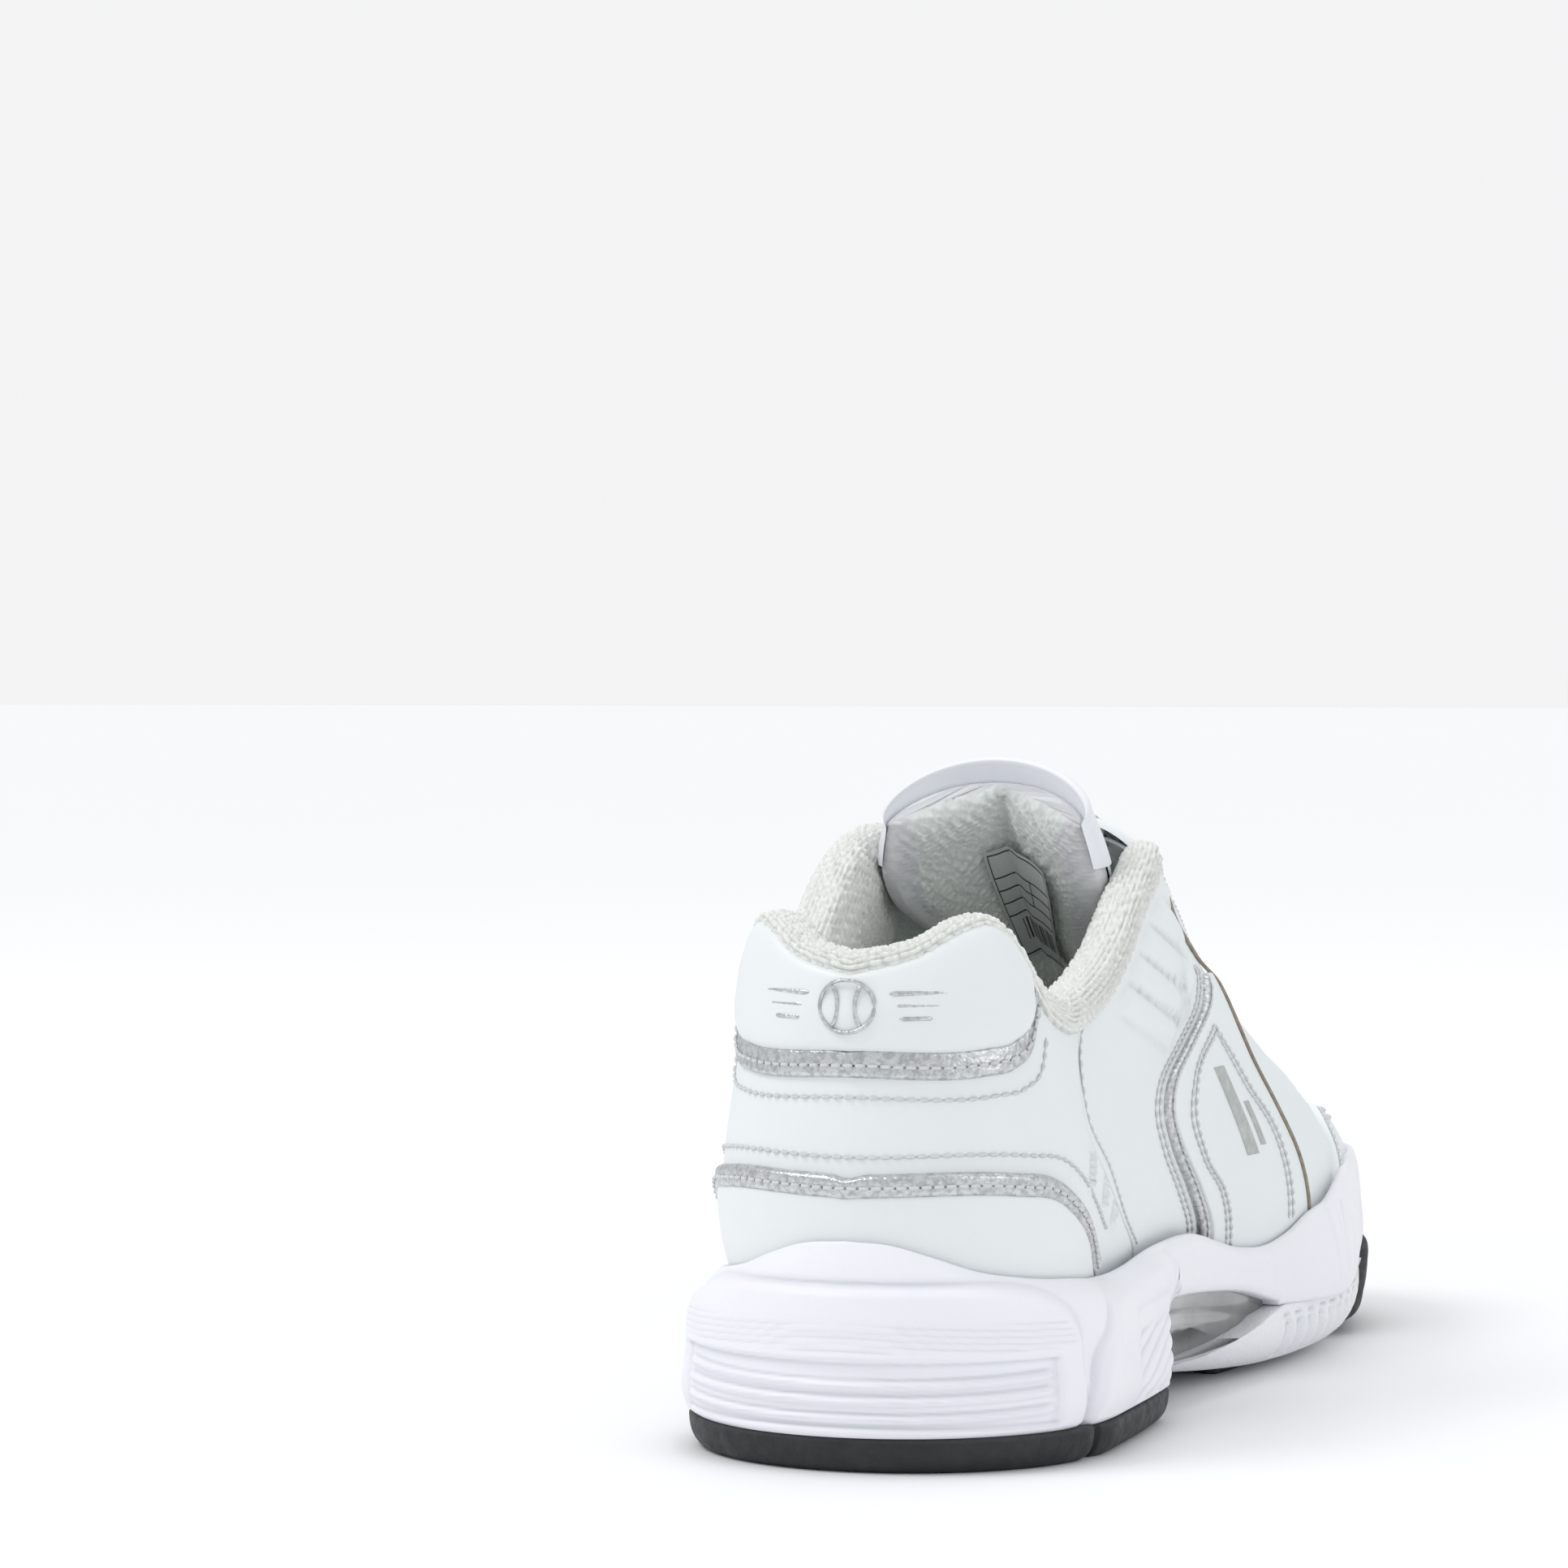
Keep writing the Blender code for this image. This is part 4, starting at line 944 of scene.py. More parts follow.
def build_forefoot_tread():
    """Black tread under the forefoot, carried up round the toe."""
    def section(s):
        a = unfold(s)[1]
        low = toe_spring(a)
        reach = step(around(160.0), around(188.0), a)
        climb = step(around(176.0), around(204.0), a)
        wide = sole_radius(s) + 0.6
        flat = wide - 14.5 + 12.5 * reach
        rise = low + 1.6 + 4.0 * reach + 7.5 * climb
        top_r = flat + 0.2 + (wide + 1.0 - flat) * reach
        turn = QUARTER_TURN
        r = np.concatenate([top_r - 1.6, top_r - 0.4, top_r + 0.1 * reach,
                            flat + (top_r - flat) * np.cos(turn)])
        z = np.concatenate([rise, rise + 0.1, rise - 0.6,
                            low + (rise - 1.0 - low) * (1 - np.sin(turn))])
        under_r, under_z = tread_underside(s, flat, low)
        return np.concatenate([r, under_r]), np.concatenate([z, under_z])

    tread = sole_slab("forefoot_tread", around(106.0), TOE_END, section, RUBBER, 0.9)
    attach(tread, FLEX, ("outsole_forefoot", "outsole_toe"))


def build_shank():
    """Smoky clear bridge seen through the window under the arch."""
    def section(s):
        a = unfold(s)[1]
        wide = sole_radius(s) - 2.2
        top = arch_underside(a) + 1.5
        low = shell_low(a) + 1.0
        q = np.linspace(0.0, 1.0, 22)[:, None]
        z = top + (low - top) * q
        dish = -1.2 - 2.6 * q**2 - 0.5 * bump(q - 0.35, 0.05)
        r = np.concatenate([wide * 0.0, wide * 0.8, wide + dish, wide * 0.7, wide * 0.0])
        return r, np.concatenate([top, top, z, low, low])

    shank = sole_slab("arch_bridge", POD_FRONT - 1.0, around(106.5), section, SHANK, 1.0)
    attach(shank, "rearfoot", ("arch_shank",))


def build_footbed():
    """Cushioned sock liner over the insole board, cupped at the heel."""
    s = np.arange(-TOE_END, TOE_END, 1.2)[None, :]
    a = unfold(s)[1]
    rim_r, rim_z = profile(s, 0.0 * s)
    share = np.linspace(0.0, 1.0, 24)[:, None]
    cup = 1.4 * share**4 * (1 - step(80, 130, a)) - 1.2 * step(0.93, 1.0, share)
    for name, inset, top, cupping, made_of, slot in (
            ("sock_liner", 4.9, 5.85, 1.0, SOCK, "lining_fabric"),
            ("insole_board", 5.6, 1.5, 0.0, PAPER, "insole_board")):
        z = rim_z + top + cup * cupping
        r = (rim_r - inset) * share
        skirt = at_radius(s, rim_r - inset, rim_z + 0.3)
        points = np.concatenate([at_radius(s, r, z)[::-1], skirt], axis=0)[::-1]
        piece = grid(name, points, made_of, uv=(s, np.arange(len(points))[:, None] * 1.4),
                     round_columns=True)
        close_ends(piece)
        attach(piece, FLEX, (name + "_rear", name + "_front"))


# ---------------------------------------------------------------- leather of the upper

BASE_EDGE = (-0.9, 0.0, 0.8)
OVERLAY_EDGE = (-0.3, 1.4, 0.9)
TRIM_EDGE = (-0.3, 0.95, 0.7)
SLOTS = ((59.0, 50.5), (68.5, 46.0), (76.0, 42.0))


def slot_relief(s, z):
    """Three slanted windows pressed into the heel leather, each with a raised lip."""
    a = unfold(s)[1]
    depth = 0.0
    for middle, height in SLOTS:
        lean = (a - middle) - 0.35 * (z - height)
        far = np.maximum(np.abs(lean) / 1.9, np.abs(z - height) / 3.1)
        depth = depth - 1.3 * (1 - step(0.75, 1.0, far)) + 0.35 * bump(far - 1.15, 0.16)
    return depth


def rib_relief(s, z):
    """Soft padded ribs between the collar seam and the stripe."""
    a = unfold(s)[1]
    along = (a - 86.0) * 0.33 + (z - 77.0) * 0.94
    below_seam = collar_seam(s) - z
    window = step(3.0, 6.5, below_seam) * step(-1.0, 2.0, along) * (1 - step(35.0, 37.5, along))
    window = window * (1 - step(saddle_rear(z) - 11.0, saddle_rear(z) - 6.5, a))
    window = window * (1 - step(27.0, 33.0, below_seam))
    rib = np.abs(np.sin(along * math.pi / 7.4)) ** 0.45
    return window * 1.7 * (rib - 0.3)


def quarter_level(s, share):
    """Level at a share of the way up to the upper's edge."""
    return np.maximum(share, 0.01) * upper_edge(s)


def build_base_leather():
    """Heel panel, both quarters and the vamp, parted by hairline gaps."""
    gap = 0.12
    heel = panel("heel_panel", lambda v: gap - quarter_seam(v), lambda v: quarter_seam(v) - gap,
                 quarter_level, (150.0, 56.0), BASE_EDGE, LEATHER, slot_relief, 0.75)
    attach(heel, "rearfoot", ("heel_panel",))
    for name, side in SIDES:
        start, end = mirrored(side, lambda v: quarter_seam(v) + gap,
                              lambda v: quarter_front(v) - gap)
        piece = panel(name + "_quarter", start, end, quarter_level, (76.0, 62.0), BASE_EDGE,
                      LEATHER, rib_relief, 0.75)
        attach(piece, "rearfoot", (name + "_quarter",))
    vamp = panel("vamp", lambda v: quarter_front(v) + gap,
                 lambda v: 2 * TOE_END - quarter_front(v) - gap, quarter_level, (340.0, 62.0),
                 BASE_EDGE, LEATHER, vamp_relief, 1.0, open_top=True)
    attach(vamp, FLEX, ("vamp",))


CREASE_PITCH = 17.0


def vamp_relief(s, z):
    """Soft creases where the vamp bends."""
    a = unfold(s)[1]
    crease = np.sin((a + 0.3 * z) * 2 * math.pi / CREASE_PITCH)
    crease = crease * band(a, (around(118), around(135)), (around(160), around(175)))
    return 0.35 * crease * step(30.0, 44.0, z)


def build_heel_overlays():
    """Foxing, heel tab and their silver trims."""
    def foot(a):
        return 31.0 + 0 * a - 0.09 * np.maximum(a - 20.0, 0.0)

    foxing = panel("heel_foxing", *across_heel(FOXING_FRONT),
                   heights(foot, lambda a: foxing_top(a) + 1.0),
                   (136.0, 16.0), (-0.3, 1.15, 0.8), LEATHER, None, 0.9)
    attach(foxing, "rearfoot", ("heel_foxing",))

    def notch(a):
        return 0.7 * bump(a, 2.2)

    trim = panel("heel_foxing_trim", *across_heel(FOXING_FRONT),
                 heights(lambda a: foxing_top(a) + 0.2 - 0.5 * notch(a),
                         lambda a: foxing_top(a) + TRIM_WIDTH - notch(a)),
                 (136.0, TRIM_WIDTH), (-0.3, 1.5, 1.1), SILVER, None, 0.7)
    attach(trim, "rearfoot", ("heel_foxing_trim",))

    def tab_pad(s, z):
        a = unfold(s)[1]
        inside = np.minimum(z - tab_bottom(a), collar_seam(s) - z)
        crown = np.minimum(np.clip(inside, 0, 9) / 9.0, np.clip(TAB_FRONT - a, 0, 9) / 9.0)
        return 1.3 * np.sin(crown * math.pi / 2)

    tab = panel("heel_tab", *across_heel(TAB_FRONT),
                heights(tab_bottom, lambda a: seam_outer(a) + 0.2), (80.0, 17.0),
                (-0.3, 1.5, 1.3), LEATHER, tab_pad, 0.7)
    attach(tab, "rearfoot", ("heel_tab",))
    trim = panel("heel_tab_trim", *across_heel(TAB_FRONT + 1.8),
                 heights(lambda a: tab_bottom(a) - TRIM_WIDTH,
                         lambda a: tab_bottom(a) + 0.6 - 0.6 * notch(a)),
                 (83.0, TRIM_WIDTH), TRIM_EDGE, SILVER, None, 0.7)
    attach(trim, "rearfoot", ("heel_tab_trim",))


# The printed mark is two parallel bars that stay apart: rear and front edge, bottom and top.
MARK_BARS = ((145.0, 150.4, 45.5, 63.5), (152.4, 154.8, 47.0, 56.0))
MARK_SLANT = 0.72            # how far both bars lean back for each millimetre of height


def mark_bar(name, side, rear, front, bottom, top):
    """One slanted bar of the printed mark; its edges are given at the height of the first's foot."""
    def height(share):
        return bottom + (top - bottom) * share

    def leaning(edge):
        return lambda share: edge - MARK_SLANT * (height(share) - MARK_BARS[0][2])

    start, end = mirrored(side, leaning(rear), leaning(front))
    return panel(name, start, end, lambda s, share: level_at(s, height(share)),
                 (front - rear, top - bottom), (1.3, 1.72, 0.5), MARK, None, 0.6)


def build_side_overlays():
    """The saddle with its silver stripe and printed mark."""
    low = 25.0

    def level(s, share):
        return np.maximum(level_at(s, low + (SADDLE_TOP - low) * share), 0.02)

    def at(line, shift=0.0, wide=0.0):
        def place(share):
            z = low + (SADDLE_TOP - low) * share
            return line(z) + shift + wide * stripe_width(z)
        return place

    for name, side in SIDES:
        start, end = mirrored(side, at(saddle_rear), at(saddle_rear, 0.4, 1.0))
        stripe = panel(name + "_stripe", start, end, level, (4.0, 58.0), (-0.3, 1.3, 1.1),
                       SILVER, None, 0.7)
        attach(stripe, "rearfoot", (name + "_stripe",))
        start, end = mirrored(side, at(saddle_rear, 0.1, 1.0), at(saddle_front))
        saddle = panel(name + "_saddle", start, end, level, (50.0, 58.0), OVERLAY_EDGE, LEATHER,
                       None, 0.9)
        attach(saddle, "rearfoot", (name + "_saddle",))
        for i, bar in enumerate(MARK_BARS):
            attach(mark_bar(f"{name}_mark_{i}", side, *bar), "rearfoot", (name + "_mark",))


def build_eyestays():
    """Reinforced leather along both sides of the lacing opening."""
    def level(s, share):
        edge = level_beside_ridge(s, throat_half_width(np.abs(s)) + 0.4)
        return edge - 0.80 * (1.0 - share)

    for name, side in SIDES:
        start, end = mirrored(side, constant(COLLAR_FRONT + 2.0), constant(THROAT - 2.0))
        stay = panel(name + "_eyestay", start, end, level, (62.0, 12.0), (-0.3, 1.6, 0.9),
                     LEATHER, None, 0.8)
        attach(stay, "rearfoot", (name + "_eyestay",))


def build_throat_bar():
    """Rounded leather patch sewn across the front end of the lacing opening."""
    length, half_width, corner = 13.0, 15.0, 6.0
    along = rimmed_places(0.8, length)[:, None]
    across = rimmed_places(0.8, 2 * half_width)[None, :] - half_width
    s = np.where(across < 0, -1.0, 1.0) * (THROAT - 5.0 + along)
    from_corner = np.hypot(np.maximum(np.abs(across) - half_width + corner, 0.0),
                           np.maximum(along - length + corner, 0.0))
    from_edge = np.minimum(np.minimum(along, half_width - np.abs(across)), corner - from_corner)
    depth = rounded(from_edge, -0.6, 2.1, 1.0)
    points = on_upper(s, TOP - 0.95 * np.abs(across) / half_width, depth)
    attach(grid("throat_bar", points, LEATHER, uv=(across + 0 * along, along + 0 * across)), FLEX,
           ())


def toe_cap_rear(share):
    """Rear edge of the toe overlay at a share of its height."""
    return 190.0 + 34.0 * share


def toe_cap_level(share):
    """Level of the toe overlay at a share of its height."""
    return 0.4 + 3.3 * share


def build_toe():
    """Toe overlay; the hidden stiffeners keep the frame's shape."""
    cap = panel("toe_overlay", toe_cap_rear, lambda v: 2 * TOE_END - toe_cap_rear(v),
                lambda s, v: toe_cap_level(v), (230.0, 30.0), OVERLAY_EDGE, LEATHER, None, 1.0)
    attach(cap, FLEX, ("toe_overlay",))
    for name in ("toe_puff", "heel_counter"):
        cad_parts[name].data.materials[0] = STIFFENER


# ---------------------------------------------------------------- stitching

THREAD_SIDES = 6
THREAD_RINGS = np.array([-1.0, -0.82, -0.4, 0.0, 0.4, 0.82, 1.0])


def along_line(points, pitch):
    """Places every `pitch` along a polyline, and the headings there."""
    gaps = np.linalg.norm(np.diff(points, axis=0), axis=1)
    far = np.concatenate([[0.0], np.cumsum(gaps)])
    count = max(1, int(far[-1] / pitch))
    at = (np.arange(count) + 0.5) * far[-1] / count
    spots = np.stack([np.interp(at, far, points[:, k]) for k in range(3)], axis=1)
    ahead = np.stack([np.interp(at + 0.2, far, points[:, k]) for k in range(3)], axis=1)
    behind = np.stack([np.interp(at - 0.2, far, points[:, k]) for k in range(3)], axis=1)
    return spots, unit(ahead - behind)


def stitch_row(s, z, lift, pitch, size=0.36, level=None):
    """Threads and needle holes along a drawn line: two lists of point arrays."""
    s, z = np.asarray(s, float), np.asarray(z, float)
    lv = level_at(s, z) if level is None else level
    line = on_upper(s, lv, lift)
    outside = last_normal(s, lv)
    spots, heading = along_line(line, pitch)
    nearest = np.argmin(np.linalg.norm(spots[:, None] - line[None], axis=2), axis=1)
    normal = outside[nearest]
    across = unit(np.cross(normal, heading))
    turn = np.arange(THREAD_SIDES) * 2 * math.pi / THREAD_SIDES
    half = pitch * 0.5 - 0.12
    threads, holes = [], []
    for spot, head, up, flat in zip(spots, heading, normal, across):
        rings = []
        for t in THREAD_RINGS:
            thick = size * math.sqrt(max(1.0 - t**4, 0.04))
            middle = spot + head * (half * t) + up * (size * 0.7 * (1 - 1.5 * t**2))
            rings.append(middle + thick * (np.cos(turn)[:, None] * flat
                                           + np.sin(turn)[:, None] * up))
        threads.append(np.concatenate(rings))
        # each needle hole is a small sunk disc painted with the shade inside it
        centre = spot + head * (pitch * 0.5) + up * 0.05
        holes.append(np.stack([centre + 0.22 * (math.cos(t) * head * 1.2 + math.sin(t) * flat)
                               for t in turn] + [centre - up * 0.12]))
    return threads, holes


def sew(name, rows, body, hole=None):
    """Joins stitch rows into one thread object and one of needle holes painted with the shade inside
    them.
    """
    threads = [t for row in rows for t in row[0]]
    holes = [h for row in rows for h in row[1]]
    tube = grid_faces(len(THREAD_RINGS), THREAD_SIDES, round_columns=True)
    size = len(THREAD_RINGS) * THREAD_SIDES
    faces = np.concatenate([tube + size * i for i in range(len(threads))])
    ring = np.repeat(np.arange(len(THREAD_RINGS)), THREAD_SIDES) * 0.35
    turn = np.tile(np.arange(THREAD_SIDES), len(THREAD_RINGS)) * 0.3
    uv = np.tile(np.column_stack([ring, turn]), (len(threads), 1))
    attach(new_mesh(name, np.concatenate(threads), faces, THREAD, uv), body, ())
    fan = [(i, (i + 1) % THREAD_SIDES, THREAD_SIDES) for i in range(THREAD_SIDES)]
    faces = np.concatenate([np.array(fan) + (THREAD_SIDES + 1) * i for i in range(len(holes))])
    # shallow holes get the pale painted shade unless a darker one is given
    attach(new_mesh(name + "_holes", np.concatenate(holes), faces, hole or SOFT_HOLE_SHADE), body, ())


LINE_SPACING = 0.8


def drawn(*points):
    """A smooth line through (position, height) points, as arrays."""
    points = np.array(points, float)
    far = np.concatenate([[0.0], np.cumsum(np.linalg.norm(np.diff(points, axis=0), axis=1))])
    at = np.linspace(0.0, far[-1], max(2, round(far[-1] / LINE_SPACING)))
    line = smooth(at, far, points)
    return line[:, 0], line[:, 1]


def sew_heel():
    """Stitches on the silver trims and beside them."""
    a = np.linspace(-FOXING_FRONT + 1.0, FOXING_FRONT - 1.0, 220)
    tab = np.linspace(-TAB_FRONT - 0.8, TAB_FRONT + 0.8, 160)
    on_trim = [stitch_row(a, foxing_top(np.abs(a)) + 2.2, 1.5, 2.2),
               stitch_row(tab, tab_bottom(np.abs(tab)) - 2.4, 0.95, 2.2)]
    # the needle holes through the silver trims get the dark painted shade
    sew("trim_stitching", on_trim, "rearfoot", HOLE_SHADE)
    tab = np.linspace(-TAB_FRONT - 3.5, TAB_FRONT + 3.5, 160)
    rows = [stitch_row(tab, tab_bottom(np.abs(tab) * 0.93) - 8.0, 0.0, 2.2),
            stitch_row(a * 1.06, foxing_top(np.abs(a) * 0.97) + TRIM_WIDTH + 2.9, 0.0, 2.2)]
    sew("heel_stitching", rows, "rearfoot")


def sew_side(name, side):
    """Stitches of one side: quarter seam, stripe, saddle and eyestay."""
    rows = []
    s, z = drawn((65.5, 76), (60.5, 70), (59.3, 61), (71.5, 49.5), (84.5, 39), (96, 33))
    rows.append(stitch_row(side * s, z, 0.0, 2.4, 0.28))
    z = np.linspace(30.5, 83.0, 90)
    for shift in (2.2, 4.4):
        rows.append(stitch_row(side * (saddle_rear(z) - shift), z, 0.0, 2.3))
    sew(name + "_quarter_stitching", rows, "rearfoot")
    z = np.linspace(31.0, 79.0, 90)
    middle = saddle_rear(z) + 0.4 * stripe_width(z) + 0.8
    sew(name + "_stripe_stitching", [stitch_row(side * middle, z, 1.3, 2.3, 0.26)], "rearfoot")
    rows = []
    for inset in (0.0, 1.9):
        tip = (136 + inset * 0.3, 71.5 - inset * 0.7)
        s, z = drawn((143 + inset * 0.9, 28.0), (133 + inset, 40), (123 + inset, 47),
                     (117.6 + inset * 1.2, 55.5), (121 + inset, 62), tip)
        rows.append(stitch_row(side * s, z, 1.4, 2.2))
        s, z = drawn(tip, (144 - inset, 64.5),
                     (149 - inset, 59), (159 - inset, 50), (165.5 - inset, 40),
                     (169 - inset, 31.5))
        rows.append(stitch_row(side * s, z, 1.4, 2.2))
    sew(name + "_saddle_stitching", rows, "rearfoot")
    rows = []
    a = np.linspace(COLLAR_FRONT + 4.0, THROAT - 5.0, 90)
    for inset in (1.8, 3.6):
        lv = level_beside_ridge(side * a, throat_half_width(a) + 0.4) - 0.8 + inset * 0.055
        rows.append(stitch_row(side * a, a, 1.6, 2.2, level=lv))
    sew(name + "_eyestay_stitching", rows, "rearfoot")


def sew_toe():
    """Two rows along the edges of the toe overlay."""
    start = toe_cap_rear(1.0) + 4.0
    s = np.linspace(start, 2 * TOE_END - start, 260)
    rows = [stitch_row(s, s, 1.4, 2.2, level=np.full(s.shape, toe_cap_level(1.0) - inset))
            for inset in (0.15, 0.33)]
    for start, side in ((0.0, 1), (2 * TOE_END, -1)):
        for inset in (1.6, 3.5):
            v = np.linspace(0.12, 0.96, 60)
            at = start + side * (toe_cap_rear(v) + inset)
            rows.append(stitch_row(at, v, 1.4, 2.2, level=toe_cap_level(v)))
    sew("toe_stitching", rows, FLEX)


def build_stitching():
    """All the rows of stitches."""
    sew_heel()
    for name, side in SIDES:
        sew_side(name, side)
    sew_toe()


# ---------------------------------------------------------------- small raised details

CORD_SIDES = 8


def tube(points, outside, radius, flat):
    """Points and faces of a round cord along a polyline, flattened along `outside`."""
    heading = unit(np.gradient(points, axis=0))
    across = unit(np.cross(outside, heading))
    up = unit(np.cross(heading, across))
    turn = np.arange(CORD_SIDES) * 2 * math.pi / CORD_SIDES
    swell = np.ones(len(points))
    swell[[0, -1]] = 0.35
    ring = (across[:, None] * np.cos(turn)[None, :, None]
            + up[:, None] * (flat * np.sin(turn))[None, :, None])
    solid = points[:, None] + ring * (radius * swell)[:, None, None]
    return solid.reshape(-1, 3), grid_faces(len(points), CORD_SIDES, round_columns=True)


def join(parts):
    """Merges (points, faces) parts into one."""
    points, faces, count = [], [], 0
    for some_points, some_faces in parts:
        points.append(some_points)
        faces.append(some_faces + count)
        count += len(some_points)
    return np.concatenate(points), np.concatenate(faces)


def cord(name, lines, made_of, body, radius, flat):
    """One object of cords along (points, outside) lines."""
    points, faces = join([tube(line, outside, radius, flat) for line, outside in lines])
    uv = points[:, [0, 2]]
    attach(new_mesh(name, points, faces, made_of, uv), body, ())


def surface_line(s, z, lift):
    """A line on the upper through heights, and the outward directions along it."""
    lv = level_at(s, z)
    return on_upper(s, lv, lift), last_normal(s, lv)


def build_crest():
    """A plain tennis ball raised on the heel tab, with three bars on each side."""
    middle, size = 81.5, 4.6
    turn = np.linspace(0, 2 * math.pi, 49)
    lines = [surface_line(size * np.cos(turn), middle + size * np.sin(turn), 2.75)]
    bend = np.linspace(-0.95, 0.95, 17)
    for side in (1, -1):
        x = side * size * (0.82 - 0.55 * np.cos(bend))
        lines.append(surface_line(x, middle + size * np.sin(bend) * 0.98, 2.75))
    cord("heel_crest", lines, SILVER, "rearfoot", 0.34, 0.8)
    bars = []
    for side in (1, -1):
        for row in range(3):
            start, length = 7.2 + 0.9 * row, 11.0 - 2.6 * row
            s = np.linspace(start, start + length, 14) * side
            bars.append(surface_line(s, middle + 2.2 - 2.2 * row + 0 * s, 2.6))
    cord("heel_crest_bars", bars, SILVER, "rearfoot", 0.42, 0.55)


def build_cut_edges():
    """The tan cut edge of the side overlay, and the silver corner at the top eyelet."""
    for name, side in SIDES:
        s, z = drawn((120.5, 98.5), (130, 93), (141, 86.5), (147.8, 81), (150.7, 73), (155.3, 63),
                     (162.8, 53), (170.3, 44), (176.2, 34), (178.5, 29))
        lift = 0.4 + 1.1 * step(SADDLE_TOP + 3.0, SADDLE_TOP - 3.0, z)
        cord(name + "_cut_edge", [surface_line(side * s, z, lift)], CUT_EDGE, "rearfoot", 0.42,
             0.9)
        a = np.linspace(COLLAR_FRONT + 2.2, COLLAR_FRONT + 19.0, 24)
        lv = level_beside_ridge(side * a, throat_half_width(a) + 2.0)
        lines = [(on_upper(side * a, lv, 1.55), last_normal(side * a, lv))]
        cord(name + "_eyelet_trim", lines, SILVER, "rearfoot", 1.0, 0.5)


def build_vents():
    """Small vents punched over the toes, as discs painted dark with the shade inside them."""
    sides = 10
    turn = np.arange(sides) * 2 * math.pi / sides
    fan = np.array([(i, (i + 1) % sides, sides) for i in range(sides)])
    spots = [(TOE_END + (i - 4 + row / 2) * 11.0, 4.6 - 0.34 * row)
             for row in range(4) for i in range(9 - row)]
    parts = []
    for s, lv in spots:
        s, lv = both(s, lv)
        middle, up = on_upper(s, lv, 0.06), last_normal(s, lv)
        flat = unit(np.cross(up, (0.0, 0.0, 1.0)))
        other = np.cross(up, flat)
        ring = [middle + 0.62 * (math.cos(t) * flat + math.sin(t) * other) for t in turn]
        parts.append((np.array(ring + [middle - up * 0.05]), fan))
    points, faces = join(parts)
    attach(new_mesh("vamp_vents", points, faces, HOLE_SHADE), FLEX, ())


# ---------------------------------------------------------------- padded pieces

CLOTH_PRESSURE = 4.0
CLOTH_FRAMES = 20


def inflate(points, pinned, limit):
    """Swells a closed loop grid of drawn points with Blender's cloth; pinned rows stay put."""
    rows, columns = points.shape[:2]
    data = bpy.data.meshes.new("pad")
    data.from_pydata((points.reshape(-1, 3) * MM).tolist(), [],
                     grid_faces(rows, columns, round_rows=True).tolist())
    pad = bpy.data.objects.new("pad", data)
    bpy.context.scene.collection.objects.link(pad)
    group = pad.vertex_groups.new(name="sewn")
    held = np.flatnonzero(np.broadcast_to(pinned, (rows, columns)).ravel())
    group.add(held.tolist(), 1.0, "REPLACE")
    cloth = pad.modifiers.new("cloth", "CLOTH")
    cloth.settings.quality = 6
    cloth.settings.mass = 0.05
    cloth.settings.use_pressure = True
    cloth.settings.uniform_pressure_force = CLOTH_PRESSURE
    cloth.settings.effector_weights.gravity = 0.0
    cloth.settings.vertex_group_mass = "sewn"
    cloth.settings.tension_stiffness = 20.0
    cloth.settings.compression_stiffness = 20.0
    scene = bpy.context.scene
    for number in range(1, CLOTH_FRAMES + 1):
        scene.frame_set(number)
    swollen = pad.evaluated_get(bpy.context.evaluated_depsgraph_get()).to_mesh()
    found = np.zeros(rows * columns * 3)
    swollen.vertices.foreach_get("co", found)
    scene.frame_set(1)
    bpy.data.objects.remove(pad)
    moved = found.reshape(points.shape) / MM - points
    far = np.linalg.norm(moved, axis=-1, keepdims=True)
    return moved * np.minimum(1.0, limit / np.maximum(far, 1e-9))


def stretched(rough, rows, columns):
    """A coarse grid of vectors drawn out to a finer one."""
    for axis, count in ((0, rows), (1, columns)):
        at = np.linspace(0, rough.shape[axis] - 1, count)
        rough = smooth(at, np.arange(rough.shape[axis]), np.moveaxis(rough, axis, 0))
        rough = np.moveaxis(rough, 0, axis)
    return rough


def face_normals(points):
    """Normals of a grid of points, along x up."""
    along = np.gradient(points, axis=1)
    up = np.gradient(points, axis=0)
    return unit(np.cross(along, up))


LOOP_PITCH = 1.5
LOOP_HEIGHT = LOOP_PITCH * 0.62


def loops(u, w):
    """Relief of looped knit, 0 in the hollows and 1 on the loops; u and w in millimetres."""
    row = np.floor(w / LOOP_HEIGHT)
    shift = u / LOOP_PITCH + 0.5 * (row % 2) + 0.12 * np.sin(row * 2.3)
    wobble = 0.22 * np.sin(row * 5.1 + np.floor(shift) * 3.7)
    lobe = np.abs(np.sin((shift + wobble) * math.pi))
    ridge = np.abs(np.sin(w / LOOP_HEIGHT * math.pi))
    return np.clip((lobe * 0.75 + 0.25) * ridge ** 0.7
                   + 0.18 * np.sin(u * 1.9 + w * 2.7), 0, 1)


def path_length(points):
    """Distance along each column of a grid of points."""
    gaps = np.linalg.norm(np.diff(points, axis=0), axis=-1)
    return np.concatenate([np.zeros((1, points.shape[1])), np.cumsum(gaps, axis=0)])


COLLAR_REACH = COLLAR_FRONT + 3.0
collar_pad = curve((0, 8.6), (40, 8.8), (60, 9.6), (95, 8.8), (121, 7.6))
